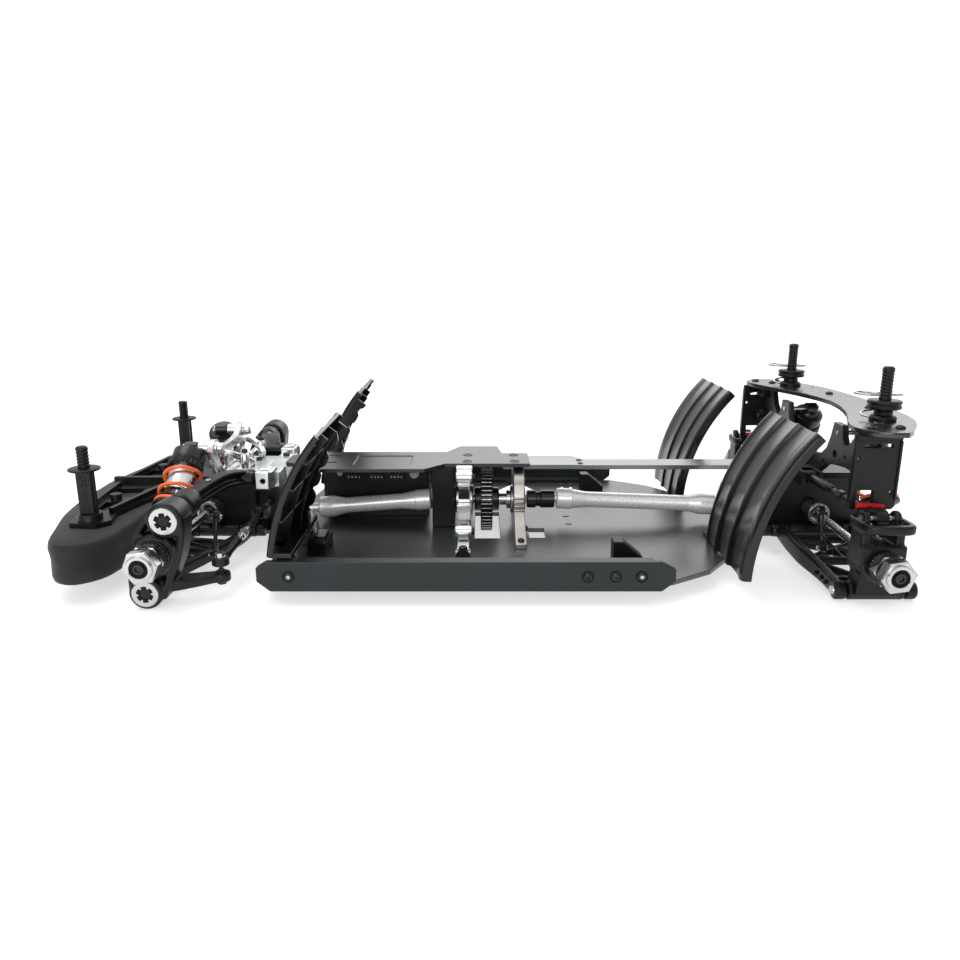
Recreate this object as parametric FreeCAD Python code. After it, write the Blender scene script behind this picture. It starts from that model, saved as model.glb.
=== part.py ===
import FreeCAD, Part
import math
import os

# Rolling chassis of a 1/7 scale four wheel drive drift car, without wheels.
# Frame: +X towards the rear, +Y towards the right side, +Z up, millimetres.
# X = 0 is the middle of the overall length and Z = 0 is the floor.

# Driving dimensions
WHEELBASE = 400.0
FRONT_X = -184.0
REAR_X = FRONT_X + WHEELBASE
PLATE_BOTTOM = 9.0
PLATE_TOP = 12.0
GUARD_OUT = 120.0
GUARD_TOP = 26.0
DECK_BOTTOM = 54.5
DECK_TOP = 57.0
BRACE_BOTTOM = 51.5
CENTRE_Z = 28.0
SPUR_TEETH = 46
SPUR_R = 24.0
PIN_R = 1.5
PIN_BORE = 1.56
HEX_AF = 17.0
AXLE_R = 4.0
CUP_R = 8.5
SHAFT_R = 2.6
SEAT_AT = 44.0
COIL_R = 11.2
WIRE_R = 1.1
COIL_TURNS = 2.75

# Front corner, right side
F_ARM_Y = 27.0
F_ARM_Z = 14.0
F_UP_Y = 38.0
F_UP_Z = 54.0
F_HUB_Z = 31.0
F_DIFF_Z = 28.2
F_TOP_X = -176.0
F_TOP_Z = 51.5
F_LOW_X = -190.0
F_LOW_Z = 9.5
F_BALL_Y = 113.0
F_SHOCK_TOP = (-191.5, 31.0, 71.0)
F_SHOCK_LOW = (-198.0, 86.0, 20.0)
RACK_X = -148.0
RACK_Z = 30.0
RACK_Y = 40.0
TIE_X = -154.0
TIE_Y = 105.0
TIE_Z = 21.0

# Rear corner, right side
R_ARM_Y = 30.0
R_ARM_Z = 15.0
R_LOW_Y = 110.0
R_LOW_Z = 5.5
R_HUB_Z = 25.0
R_DIFF_Z = 28.0
R_LINK_IN = (206.0, 40.0, 54.0)
R_LINK_OUT = (215.0, 115.0, 50.0)
R_SHOCK_TOP = (237.0, 45.0, 84.0)
R_SHOCK_LOW = (237.0, 86.0, 19.0)

# Bodywork fixings
POST_R = 3.4
F_POST_X = -237.0
F_POST_Y = 82.0
R_POST_X = 231.0
R_POST_Y = 72.3
R_STEM_FROM = 113.5
TOP_PLATE_Z = 94.0
TOP_PLATE_T = 3.0


def vec(p):
    return FreeCAD.Vector(p[0], p[1], p[2])


def box(x0, x1, y0, y1, z0, z1):
    return Part.makeBox(x1 - x0, y1 - y0, z1 - z0, vec((x0, y0, z0)))


def rod(p, q, r):
    d = vec(q) - vec(p)
    return Part.makeCylinder(r, d.Length, vec(p), d)


def cone(p, q, r0, r1):
    d = vec(q) - vec(p)
    return Part.makeCone(r0, r1, d.Length, vec(p), d)


def ball(p, r):
    return Part.makeSphere(r, vec(p))


def prism(points, d):
    wire = Part.makePolygon([vec(p) for p in points] + [vec(points[0])])
    return Part.Face(wire).extrude(vec(d))


def prism_x(points, x0, x1):
    return prism([(x0, y, z) for y, z in points], (x1 - x0, 0, 0))


def prism_y(points, y0, y1):
    return prism([(x, y0, z) for x, z in points], (0, y1 - y0, 0))


def prism_z(points, z0, z1):
    return prism([(x, y, z0) for x, y in points], (0, 0, z1 - z0))


def beam(p, q, width, height):
    """Straight bar of rectangular section between two points."""
    d = vec(q) - vec(p)
    side = d.cross(FreeCAD.Vector(0, 0, 1))
    side.normalize()
    up = side.cross(d)
    up.normalize()
    side = side * (width / 2)
    up = up * (height / 2)
    base = vec(p)
    corners = [base - side - up, base + side - up, base + side + up, base - side + up]
    wire = Part.makePolygon(corners + [corners[0]])
    return Part.Face(wire).extrude(d)


def fuse(shapes):
    out = shapes[0]
    if len(shapes) > 1:
        out = out.multiFuse(shapes[1:])
    return out.removeSplitter()


def cut(shape, tools):
    for tool in tools:
        shape = shape.cut(tool)
    return shape.removeSplitter()


def mirrored(shape):
    return shape.mirror(FreeCAD.Vector(0, 0, 0), FreeCAD.Vector(0, 1, 0))


def both(shape):
    return [shape, mirrored(shape)]


def along(top, low, t):
    """Point at distance t from the top of a shock towards its lower end."""
    d = vec(low) - vec(top)
    d.normalize()
    p = vec(top) + d * t
    return (p.x, p.y, p.z)


def symmetric(half):
    """Full outline from its right half, listed from front to rear."""
    return half + [(x, -y) for x, y in reversed(half) if y > 0]


def hex_bar(x, z, y0, y1, across):
    r = across / math.sqrt(3)
    pts = [(x + r * math.cos(k * math.pi / 3), z + r * math.sin(k * math.pi / 3)) for k in range(6)]
    return prism_y(pts, y0, y1)


def ring(p, q, outer, inner):
    return rod(p, q, outer).cut(rod(p, q, inner))


# ---------------------------------------------------------------- chassis

def chassis_plate():
    half = [(-226, 20.5), (-145, 20.5), (-134, 62), (-128, 112), (104, 112), (130, 95), (157, 59),
            (170, 24), (268, 24)]
    plate = prism_z(symmetric(half), PLATE_BOTTOM, PLATE_TOP)
    holes = [
        box(-9, 8, -38, 20, 0, 20),
        box(27, 38, -37, -17, 0, 20),
        prism_z([(-6, 66), (20, 66), (20, 106)], 0, 20),
        prism_z([(30, 66), (50, 66), (30, 106)], 0, 20),
        box(60, 62.5, 70, 100, 0, 20),
        box(67, 69.5, 70, 100, 0, 20),
    ]
    for y in (-8, 10, 35):
        holes.append(box(54, 58, y - 1, y + 1, 0, 20))
    for k in range(4):
        holes.append(rod((82, 66 + 9 * k, 0), (82, 66 + 9 * k, 20), 1.6))
    return cut(plate, holes)


def side_guard():
    """Rail beside the chassis plate, with a flange that lies on the plate."""
    wall = [(-130, 14.5), (-130, 22.5), (-124.5, 26), (95, 26), (103.5, 21.5), (103.5, 14.5), (96, 8.5),
            (-122.5, 8.5)]
    rail = prism_y(wall, 116, GUARD_OUT)
    lip = prism_x([(112, PLATE_BOTTOM), (116, PLATE_BOTTOM), (116, 15), (104, 15), (104, PLATE_TOP),
                   (112, PLATE_TOP)], -120, 92)
    rim = prism_x([(112, 23.5), (116, 23.5), (116, 26), (112, 26)], -118, 92)
    return fuse([rail, lip, rim])


def upper_deck():
    pts = [(-136.5, -11), (-122, -20), (-114, -31), (-42, -31), (-29, -16), (28, -16), (28, 16),
           (10, 16), (7, 39), (-20, 39), (-29, 20), (-114, 20), (-122, 12), (-136.5, 10)]
    deck = prism_z(pts, DECK_BOTTOM, DECK_TOP)
    slots = [box(-112, -102, y - 1.2, y + 1.2, 50, 60) for y in (-12, 8)]
    pocket = [box(-90, -52, -18, 8, DECK_TOP - 0.5, 60)]
    return cut(deck, slots + pocket)


def rear_brace():
    wide = box(10, 59, -9, 19, BRACE_BOTTOM, DECK_BOTTOM)
    taper = prism_z([(58, -9), (68, -10), (68, 8), (58, 19)], BRACE_BOTTOM, DECK_BOTTOM)
    bar = box(67, 208, -10, 8, BRACE_BOTTOM, DECK_BOTTOM)
    return cut(fuse([wide, taper, bar]), [box(62, 64, -6, -3, 50, 60), box(62, 64, 3, 6, 50, 60)])


def gearbox(x0, x1, axle_x, axle_z, half_y, top, pin_y, pin_z, lugs, shaft_in, shaft_out):
    """Housing with a round cavity for the spool, an input bore and pin lugs."""
    parts = [box(x0, x1, -half_y, half_y, PLATE_TOP, top)]
    for a, b in lugs:
        for s in (1, -1):
            y0 = min(s * (half_y - 1), s * pin_y)
            y1 = max(s * (half_y - 1), s * pin_y)
            parts.append(box(a, b, y0, y1, PLATE_TOP, pin_z + 4))
            parts.append(rod((a, s * pin_y, pin_z), (b, s * pin_y, pin_z), 4))
    body = fuse(parts)
    edges = [e for e in body.Edges if abs(e.BoundBox.ZMin - top) < 0.01 and e.BoundBox.ZLength < 0.01]
    body = body.makeChamfer(3.0, edges)
    tools = [
        rod((axle_x, -half_y + 4, axle_z), (axle_x, half_y - 4, axle_z), 14.5),
        rod((axle_x, -60, axle_z), (axle_x, 60, axle_z), AXLE_R + 0.3),
        rod(shaft_in, shaft_out, 4.4),
    ]
    for s in (1, -1):
        tools.append(rod((x0 - 20, s * pin_y, pin_z), (x1 + 20, s * pin_y, pin_z), PIN_R))
    return cut(body, tools)


def front_line(x):
    """Height of the front propeller shaft at a station along the car."""
    return CENTRE_Z + (x + 38.0) * 6.0 / 79.0


def rear_line(x):
    """Height of the rear propeller shaft at a station along the car."""
    return 28.5 - (x - 47.0) * 4.0 / 101.0


def gearboxes():
    front = gearbox(-212, -156, FRONT_X, F_DIFF_Z, 20, 46, F_ARM_Y, F_ARM_Z,
                    [(-210, -204), (-192, -166), (-154, -149)],
                    (-184, 0, front_line(-184)), (-140, 0, front_line(-140)))
    guide = fuse([box(-156, -142, -12, 12, PLATE_TOP, 35.5), box(-156, -149, -21, 21, PLATE_TOP, 17.5)])
    guide = cut(guide, [rod((RACK_X, -30, RACK_Z), (RACK_X, 30, RACK_Z), 3.0),
                        rod((-160, 0, front_line(-160)), (-138, 0, front_line(-138)), 4.4)])
    lugs = []
    for s in (1, -1):
        lugs.append(box(-154, -149, min(s * 20, s * F_ARM_Y), max(s * 20, s * F_ARM_Y), PLATE_TOP, 17.5))
    front = fuse([front, guide] + lugs)
    pins = [rod((-240, s * F_ARM_Y, F_ARM_Z), (-140, s * F_ARM_Y, F_ARM_Z), PIN_R) for s in (1, -1)]
    front = cut(front, pins)
    rear = gearbox(172, 248, REAR_X, R_DIFF_Z, 22, BRACE_BOTTOM, R_ARM_Y, R_ARM_Z,
                   [(181, 187), (200, 233.5), (246.5, 252)],
                   (206, 0, rear_line(206)), (160, 0, rear_line(160)))
    return [front, rear]


def front_tower():
    """Aluminium plate across the front gearbox that carries the shock tops."""
    half = [(0, 46), (19, 46), (26, 52), (37, 66), (37, 73), (33, 76.5), (26, 76.5), (18, 70), (0, 69)]
    full = half + [(-y, z) for y, z in reversed(half) if y > 0]
    plate = prism_x(full, -180, -176)
    tools = []
    for s in (1, -1):
        y = s * F_SHOCK_TOP[1]
        z = F_SHOCK_TOP[2]
        tools.append(rod((-185, y, z), (-165, y, z), PIN_R))
        window = [(s * 4, 51), (s * 16, 51), (s * 26, 62), (s * 24, 68), (s * 16, 65), (s * 4, 64)]
        tools.append(prism_x(window, -185, -165))
    foot = box(-180, -166, -14, 14, 46, 49.5)
    return cut(fuse([plate, foot]), tools)


def upper_arm_mount():
    """Aluminium block behind the front gearbox that holds the upper arm pins."""
    block = box(-149, -137, -28, 28, 44, 54.5)
    shelf = box(-137, -128, -12, 12, 50, 54.5)
    parts = [block, shelf]
    for s in (1, -1):
        parts.append(box(-149, -139, min(s * 24, s * 43), max(s * 24, s * 43), 46, 58.5))
    parts.append(box(-158, -149, -9, 9, 46, 50))
    tools = [rod((-180, s * F_UP_Y, F_UP_Z), (-130, s * F_UP_Y, F_UP_Z), PIN_R) for s in (1, -1)]
    front_ear = []
    for s in (1, -1):
        front_ear.append(box(-169.5, -165.5, min(s * 15, s * 42), max(s * 15, s * 42), 50, 58))
    bridge = box(-165.6, -148.9, -22, 22, 50, 54)
    cross = box(-169.5, -165.4, -22, 22, 50, 58)
    return cut(fuse(parts + front_ear + [bridge, cross]), tools)


def rear_tower():
    """Plate across the rear gearbox, dipped in the middle, with tall ears."""
    top = TOP_PLATE_Z
    half = [(0, BRACE_BOTTOM), (21, BRACE_BOTTOM), (30, 60), (60, 65), (82, 64), (93, 66), (93, top),
            (72, top), (64, 80), (54, 78), (51, 90), (38, 90), (34, 74), (24, 66), (0, 64)]
    full = half + [(-y, z) for y, z in reversed(half) if y > 0]
    plate = prism_x(full, 218, 222)
    tools = []
    for s in (1, -1):
        y = s * R_SHOCK_TOP[1]
        z = R_SHOCK_TOP[2]
        tools.append(rod((200, y, z), (240, y, z), PIN_R))
        tools.append(rod((200, s * 44, 70), (240, s * 44, 70), 2.5))
        tools.append(rod((200, s * 84, 72), (240, s * 84, 72), 2.0))
    return cut(plate, tools)


def side_plates():
    """Upright plates outboard of the rear tower that carry the top plate."""
    top = TOP_PLATE_Z
    pts = [(204, 50), (208.3, 50), (208.3, 61.5), (217.5, 61.5), (217.5, 50), (231, 50), (231, top),
           (204, top)]
    plate = prism_y(pts, 96, 99)
    tabs = [box(214, 218, 80, 97, 67, 77), box(214, 218, 80, 97, 86, top)]
    tools = [box(209, 226, 90, 105, 86, 88.5), rod((210, 84, 72), (225, 84, 72), 2.0)]
    return both(cut(fuse([plate] + tabs), tools))


def rear_top_plate():
    front = [(231, 0), (228, 24), (222, 46), (213, 68), (205.5, 86)]
    tail = [(208, 103), (216, 111), (230, 111), (236, 98), (246, 86), (254, 60), (257, 22), (257.5, 0)]
    outline = front + tail
    left = [(x, -y) for x, y in reversed(outline) if y > 0]
    plate = prism_z(outline + left, TOP_PLATE_Z, TOP_PLATE_Z + TOP_PLATE_T)
    tools = []
    for s in (1, -1):
        tools.append(rod((243, s * 30, 80), (243, s * 30, 110), 2.0))
        tools.append(rod((222, s * 86, 80), (222, s * 86, 110), 2.0))
    return cut(plate, tools)


def front_bumper():
    """Half moon foam block ahead of the front gearbox."""
    half = [(-271, 14), (-269, 36), (-264, 64), (-256, 92), (-249, 111), (-240, 121), (-228, 122),
            (-218, 112), (-214, 94), (-213.5, 62), (-213.5, 20)]
    foam = prism_z(symmetric(half), PLATE_TOP, 36)
    front = [e for e in foam.Edges if e.BoundBox.ZLength < 0.01 and e.BoundBox.XMax < -214.5]
    return foam.makeFillet(2.5, front)


def bumper_brace():
    """Moulded brace on top of the foam that holds it and the front posts."""
    half = [(-262, 10), (-258, 40), (-250, 74), (-246, 90), (-230, 92), (-224, 84), (-228, 66),
            (-222, 40), (-212.2, 18)]
    plate = prism_z(symmetric(half), 36, 39)
    holes = []
    for s in (1, -1):
        holes.append(prism_z([(-250, s * 14), (-232, s * 12), (-230, s * 34), (-247, s * 38)], 30, 45))
        holes.append(prism_z([(-244, s * 46), (-232, s * 44), (-234, s * 62), (-242, s * 66)], 30, 45))
    plate = cut(plate, holes)
    ribs = [box(-258, -213, -2, 2, 38.5, 44)]
    for s in (1, -1):
        ribs.append(beam((-252, s * 8, 40.5), (-246, s * 72, 40.5), 3, 4))
        ribs.append(beam((-220, s * 14, 40.5), (-230, s * 70, 40.5), 3, 4))
        ribs.append(rod((F_POST_X, s * F_POST_Y, 38), (F_POST_X, s * F_POST_Y, 43), 7))
        ribs.append(rod((-240, s * 40, 38), (-240, s * 40, 43), 3.5))
    return fuse([plate] + ribs)


def front_post():
    x = F_POST_X
    y = F_POST_Y
    low = box(x - 4.2, x + 4.2, y - 3.2, y + 3.2, 43, 69)
    holes = [rod((x, y - 10, z), (x, y + 10, z), 1.3) for z in (47, 52, 57, 62)]
    stem = rod((x, y, 69), (x, y, 83.5), POST_R)
    disc = rod((x, y, 69), (x, y, 70.5), 9.0)
    return cut(fuse([low, stem, disc]), holes)


def rear_post():
    x = R_POST_X
    y = R_POST_Y
    base = TOP_PLATE_Z + TOP_PLATE_T
    foot = rod((x, y, base), (x, y, base + 3), 7.5)
    neck = rod((x, y, base), (x, y, R_STEM_FROM), POST_R + 0.5)
    stem = rod((x, y, R_STEM_FROM), (x, y, 128.5), POST_R)
    collar = rod((x, y, 104), (x, y, 109), 9.5)
    waist = rod((x, y, base), (x, y, 103), 5.2)
    hole = rod((x - 10, y, 112), (x + 10, y, 112), 0.8)
    return cut(fuse([foot, neck, stem, collar, waist]), [hole])


def body_clip():
    """Bent wire clip that passes through the post above its collar."""
    x = R_POST_X
    y = R_POST_Y
    wire = rod((x - 9, y, 112), (x + 9, y, 112), 0.75)
    bow = rod((x - 9, y, 112), (x - 15, y + 5, 112), 0.75)
    bend = rod((x - 15, y + 5, 112), (x - 14, y + 9, 112), 0.75)
    top = rod((x - 14, y + 9, 112), (x + 3, y + 6, 112), 0.75)
    joints = [ball(p, 0.75) for p in ((x - 9, y, 112), (x - 15, y + 5, 112), (x - 14, y + 9, 112))]
    return fuse([wire, bow, bend, top] + joints)


def arc_points(cx, cz, r, a0, a1, n):
    step = (a1 - a0) / n
    return [(cx + r * math.cos(math.radians(a0 + k * step)), cz + r * math.sin(math.radians(a0 + k * step)))
            for k in range(n + 1)]


def arc_strip(cx, cz, r0, r1, a0, a1, y0, y1):
    """Curved wall: an annular sector in the side view, drawn out sideways."""
    outer = ring((cx, y0, cz), (cx, y1, cz), r1, r0)
    reach = 2 * r1
    wedge = [(cx, cz)]
    for p in arc_points(cx, cz, reach, a0, a1, 2):
        wedge.append(p)
    return outer.common(prism_y(wedge, y0, y1))


def rear_mud_guard():
    cx = 270.3
    cz = 9.4
    parts = [arc_strip(cx, cz, 126.0, 128.4, 137, 178.5, 41, 117)]
    for y0, y1 in ((41, 46), (58, 68), (84, 94), (112, 117)):
        parts.append(arc_strip(cx, cz, 127.5, 130.0, 137, 178.5, y0, y1))
    parts.append(arc_strip(cx, cz, 120.0, 127.0, 138, 178.0, 41, 43))
    parts.append(arc_strip(cx, cz, 120.0, 127.0, 138, 178.0, 115, 117))
    parts.append(box(142.6, 158, 30, 43, PLATE_TOP, 15))
    guard = fuse(parts)
    return cut(guard, [rod((152, 33, 10), (152, 33, 20), 1.6)])


def front_mud_guard():
    cx = 8.6
    cz = 10.8
    parts = [arc_strip(cx, cz, 131.6, 134.6, 140, 173.0, 42, 117)]
    for y0, y1, depth in ((42, 45, 9.0), (114, 117, 3.5), (66, 68, 6.0), (90, 92, 5.0)):
        rib = arc_strip(cx, cz, 131.9 - depth, 132.5, 142, 172.5, y0, y1)
        teeth = []
        for k in range(5):
            a = math.radians(145.5 + 6 * k)
            reach = 130.4 - depth
            teeth.append(rod((cx + reach * math.cos(a), y0 - 1, cz + reach * math.sin(a)),
                             (cx + reach * math.cos(a), y1 + 1, cz + reach * math.sin(a)), 3.2))
        if depth > 4:
            rib = cut(rib, teeth)
        parts.append(rib)
    parts.append(box(-123, -110, 44.9, 52, PLATE_TOP, 30))
    parts.append(box(-123, -110, 96, 103, PLATE_TOP, 30))
    parts.append(box(-123, -110, 42, 117, 27, 30))
    return fuse(parts)


def centre_mounts():
    """Two upright plates that carry the centre shaft in plain bores."""
    outline = [(-70, 12), (34, 12), (34, 30), (26, 38), (22, 54.5), (-14, 54.5), (-26, 46), (-31, 36),
               (-36, 26), (-58, 20), (-70, 17)]
    front = prism_x(outline, -21, -11)
    tools = [rod((-30, 0, CENTRE_Z), (0, 0, CENTRE_Z), AXLE_R + 0.3), box(-30, 0, -22, -12, 16, 24),
             box(-30, 0, 14, 26, 18, 32)]
    front = cut(front, tools)
    outline = [(-60, 12), (20, 12), (20, BRACE_BOTTOM), (-10, BRACE_BOTTOM), (-24, 44), (-30, 28),
               (-60, 17)]
    rear = prism_x(outline, 17, 24)
    rear = cut(rear, [rod((10, 0, CENTRE_Z), (30, 0, CENTRE_Z), AXLE_R + 0.3), box(10, 30, -20, -8, 16, 22)])
    return [front, rear]


def radio_boxes():
    """Closed receiver box, the block that props the deck and two battery stops."""
    tray = box(-114, -42, 12, 38, PLATE_TOP, 50)
    lid = box(-116, -40, 10.5, 39.5, 44, 47)
    block = box(-38, -23, -15, 20, PLATE_TOP, DECK_BOTTOM)
    block = cut(block, [rod((-50, 0, CENTRE_Z), (-20, 0, CENTRE_Z), AXLE_R + 1.5)])
    stop = prism_y([(74, PLATE_TOP), (74, 26), (80, 26), (92, 16), (92, PLATE_TOP)], 76, 86)
    return [fuse([tray, lid]), block] + both(stop)


def fasteners():
    out = []
    for x in (-112.0, 54.5, 70.0, 84.5):
        head = fuse([rod((x, GUARD_OUT, 17.5), (x, GUARD_OUT + 1.2, 17.5), 2.4)])
        out += both(head)
    for x in (-14.0, 18.0):
        for y in (-9.0, 10.0):
            out.append(rod((x, y, DECK_TOP), (x, y, DECK_TOP + 1.2), 2.8))
    top = TOP_PLATE_Z + TOP_PLATE_T
    for x in (213.0, 229.0):
        out += both(rod((x, 97.5, top), (x, 97.5, top + 1.2), 2.6))
    out += both(rod((-211, F_ARM_Y, F_ARM_Z), (-148.5, F_ARM_Y, F_ARM_Z), PIN_R))
    out += both(rod((-170, F_UP_Y, F_UP_Z), (-138.5, F_UP_Y, F_UP_Z), PIN_R))
    out += both(rod((180, R_ARM_Y, R_ARM_Z), (253, R_ARM_Y, R_ARM_Z), PIN_R))
    for pin, x0, x1 in ((F_SHOCK_TOP, -197.0, -175.5), (R_SHOCK_TOP, 217.5, 242.5)):
        out += both(rod((x0, pin[1], pin[2]), (x1, pin[1], pin[2]), PIN_R))
    return out


# ------------------------------------------------------------ drive train

def spur_gear():
    """Toothed spur wheel with its shaft and end cup, turning about X."""
    pts = []
    for k in range(SPUR_TEETH):
        for part, r in ((0.0, SPUR_R - 2.2), (0.28, SPUR_R), (0.55, SPUR_R), (0.83, SPUR_R - 2.2)):
            a = 2 * math.pi * (k + part) / SPUR_TEETH
            pts.append((r * math.cos(a), CENTRE_Z + r * math.sin(a)))
    wheel = prism_x(pts, -5, 3)
    windows = []
    for k in range(5):
        a = 2 * math.pi * k / 5
        y = 13 * math.cos(a)
        z = CENTRE_Z + 13 * math.sin(a)
        windows.append(rod((-6, y, z), (4, y, z), 4.2))
    wheel = cut(wheel, windows)
    shaft = rod((-36, 0, CENTRE_Z), (46, 0, CENTRE_Z), AXLE_R)
    hub = rod((-9, 0, CENTRE_Z), (14, 0, CENTRE_Z), 7.5)
    cup = rod((27, 0, CENTRE_Z), (46, 0, CENTRE_Z), 6.2)
    body = fuse([wheel, shaft, hub, cup])
    return cut(body, [rod((38, 0, CENTRE_Z), (47, 0, CENTRE_Z), 4.2)])


def tube_shaft(x0, x1, height, stub):
    """Propeller shaft with swollen ends and a thin stub towards its gearbox."""
    def at(x):
        return (x, 0, height(x))
    s = 1 if x1 > x0 else -1
    parts = [
        rod(at(x0), at(x0 + s * 12), 7.2),
        cone(at(x0 + s * 12), at(x0 + s * 20), 7.2, 5.4),
        rod(at(x0 + s * 20), at(x1 - s * 18), 5.4),
        cone(at(x1 - s * 18), at(x1 - s * 10), 5.4, 7.4),
        rod(at(x1 - s * 10), at(x1), 7.4),
        rod(at(x1), at(stub), 3.2),
    ]
    return fuse(parts)


def front_shaft():
    tube = tube_shaft(-39.5, -117.0, front_line, -168.5)
    return tube


def rear_shaft():
    tube = tube_shaft(47.5, 157.0, rear_line, 200.5)
    tip = rod((42, 0, rear_line(42)), (48, 0, rear_line(48)), 2.6)
    return fuse([tube, tip])


def spool(x, z, wall, side):
    """Solid axle through a gearbox with a drive cup at each end."""
    parts = [rod((x, -wall - 3, z), (x, wall + 3, z), AXLE_R),
             rod((x, side * 4.2, z), (x, side * 8.2, z), 13.0)]
    for s in (1, -1):
        parts.append(rod((x, s * (wall + 1), z), (x, s * (wall + 14), z), 7.0))
    body = fuse(parts)
    pockets = [rod((x, s * (wall + 3.2), z), (x, s * (wall + 17), z), 5.6) for s in (1, -1)]
    return cut(body, pockets)


def half_shaft(x, y0, z0, y1, z1):
    p = (x, y0, z0)
    q = (x, y1, z1)
    return fuse([rod(p, q, SHAFT_R), ball(p, 3.6), ball(q, 3.6)])


def hub(x, z, mouth, tip):
    """Stub axle with its drive cup, wheel hexagon and nut, turning about Y."""
    parts = [
        rod((x, mouth, z), (x, mouth + 10, z), CUP_R),
        rod((x, mouth + 9, z), (x, tip, z), AXLE_R),
        rod((x, mouth + 17, z), (x, mouth + 20, z), 9.0),
        hex_bar(x, z, mouth + 20, mouth + 27, HEX_AF),
        rod((x, mouth + 27, z), (x, mouth + 28.5, z), 9.3),
        hex_bar(x, z, mouth + 28.5, mouth + 35, HEX_AF),
    ]
    body = fuse(parts)
    cup = rod((x, mouth - 1, z), (x, mouth + 9, z), 7.0)
    screw = rod((x, tip - 4, z), (x, tip + 1, z), 2.2)
    return cut(body, [cup, screw])


# --------------------------------------------------------- front corners

def front_lower_arm():
    y = F_ARM_Y
    z = F_ARM_Z
    outer = (F_LOW_X, 98.0, 10.2)
    parts = [
        rod((-203.6, y, z), (-192.4, y, z), 4.4),
        rod((-165.6, y, z), (-154.4, y, z), 4.4),
        beam((-198, y, z), (-193, 92, 11.0), 8, 6),
        beam((-160, y, z), (-184, 92, 11.0), 8, 6),
        beam((-196, 46, 13.2), (-168, 52, 12.8), 5, 5),
        beam((-195, 62, 12.4), (-173, 66, 12.2), 5, 5),
        beam((-200, 84, 11.6), (-184, 86, 11.6), 14, 6),
        rod((F_LOW_X, 84, 11.4), outer, 5.2),
        rod((F_LOW_X, 97, 10.4), (F_LOW_X, F_BALL_Y, F_LOW_Z), 2.2),
        ball((F_LOW_X, F_BALL_Y, F_LOW_Z), 3.6),
        box(-205.2, -203.2, 82, 90, 9, 23.5),
        box(-192.8, -190.8, 82, 90, 9, 23.5),
        box(-205.2, -190.8, 82, 90, 9, 13.5),
        rod((-204.5, F_SHOCK_LOW[1], F_SHOCK_LOW[2]), (-191.5, F_SHOCK_LOW[1], F_SHOCK_LOW[2]), PIN_R),
    ]
    arm = fuse(parts)
    bores = [rod((-210, y, z), (-150, y, z), PIN_BORE)]
    return cut(arm, bores)


def front_upper_arm():
    y = F_UP_Y
    z = F_UP_Z
    plan = [(-182, 100), (-170, 100), (-161, 78), (-151, 58), (-149.6, 42), (-150, 35.5), (-164.8, 35.5),
            (-164.8, 44), (-160, 52), (-169, 72), (-180, 90)]
    parts = [
        prism_z(plan, 49.5, 56.5),
        rod((-164.8, y, z), (-149.6, y, z), 4.4),
        rod((F_TOP_X, 88, 52.5), (F_TOP_X, 100.5, F_TOP_Z), 6.0),
        rod((F_TOP_X, 100, F_TOP_Z), (F_TOP_X, F_BALL_Y, F_TOP_Z), 2.2),
        ball((F_TOP_X, F_BALL_Y, F_TOP_Z), 4.6),
    ]
    arm = cut(fuse(parts), [box(-162.5, -157, 46, 80, 54.5, 60)])
    return cut(arm, [rod((-175, y, z), (-140, y, z), PIN_BORE)])


def ball_liner():
    """Cup that lines the lower ball socket and lets the arm swing in it."""
    c = (F_LOW_X, F_BALL_Y, F_LOW_Z)
    shell = ball(c, 5.2).cut(ball(c, 3.9))
    mouth = cone((F_LOW_X, F_BALL_Y - 6, F_LOW_Z), (F_LOW_X, F_BALL_Y - 1.2, F_LOW_Z), 4.6, 3.0)
    shell = cut(shell, [mouth])
    return max(shell.Solids, key=lambda s: s.Volume)


def front_upright():
    """Steering upright with two ball housings, a bearing barrel and an arm."""
    y0 = F_BALL_Y - 6
    y1 = F_BALL_Y + 13
    top = (F_TOP_X, F_TOP_Z)
    low = (F_LOW_X, F_LOW_Z)
    cheek = [(-185.5, 50), (-167, 47), (-171, 30), (-178, 14), (-182, 4), (-199, 12), (-196, 24),
             (-193, 40)]
    arm = [(-192, 122), (-176, 124), (-149.6, 108), (-149.6, 101), (-159, 100.6), (-182, 108)]
    parts = [
        rod((top[0], y0, top[1]), (top[0], y1, top[1]), 9.8),
        rod((low[0], y0, low[1]), (low[0], y1, low[1]), 9.5),
        rod((FRONT_X, 108, F_HUB_Z), (FRONT_X, 124.5, F_HUB_Z), 12.4),
        prism_y(cheek, 109, 123),
        prism_z(arm, 9, 14.8),
    ]
    body = fuse(parts)
    tools = [
        ball((top[0], F_BALL_Y, top[1]), 5.7),
        rod((top[0], y0 - 1, top[1]), (top[0], F_BALL_Y, top[1]), 5.7),
        rod((top[0], y1 - 3, top[1]), (top[0], y1 + 1, top[1]), 4.2),
        ball((low[0], F_BALL_Y, low[1]), 5.5),
        rod((low[0], y0 - 1, low[1]), (low[0], F_BALL_Y, low[1]), 5.6),
        rod((low[0], y1 - 3, low[1]), (low[0], y1 + 1, low[1]), 4.2),
        rod((FRONT_X, 90, F_HUB_Z), (FRONT_X, 118.6, F_HUB_Z), 9.0),
        rod((FRONT_X, 90, F_HUB_Z), (FRONT_X, 130, F_HUB_Z), AXLE_R + 0.3),
        prism_z([(-200, 90), (-183, 90), (-183, 106.9), (-200, 106.9)], 5, 20),
    ]
    return cut(body, tools)


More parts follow.
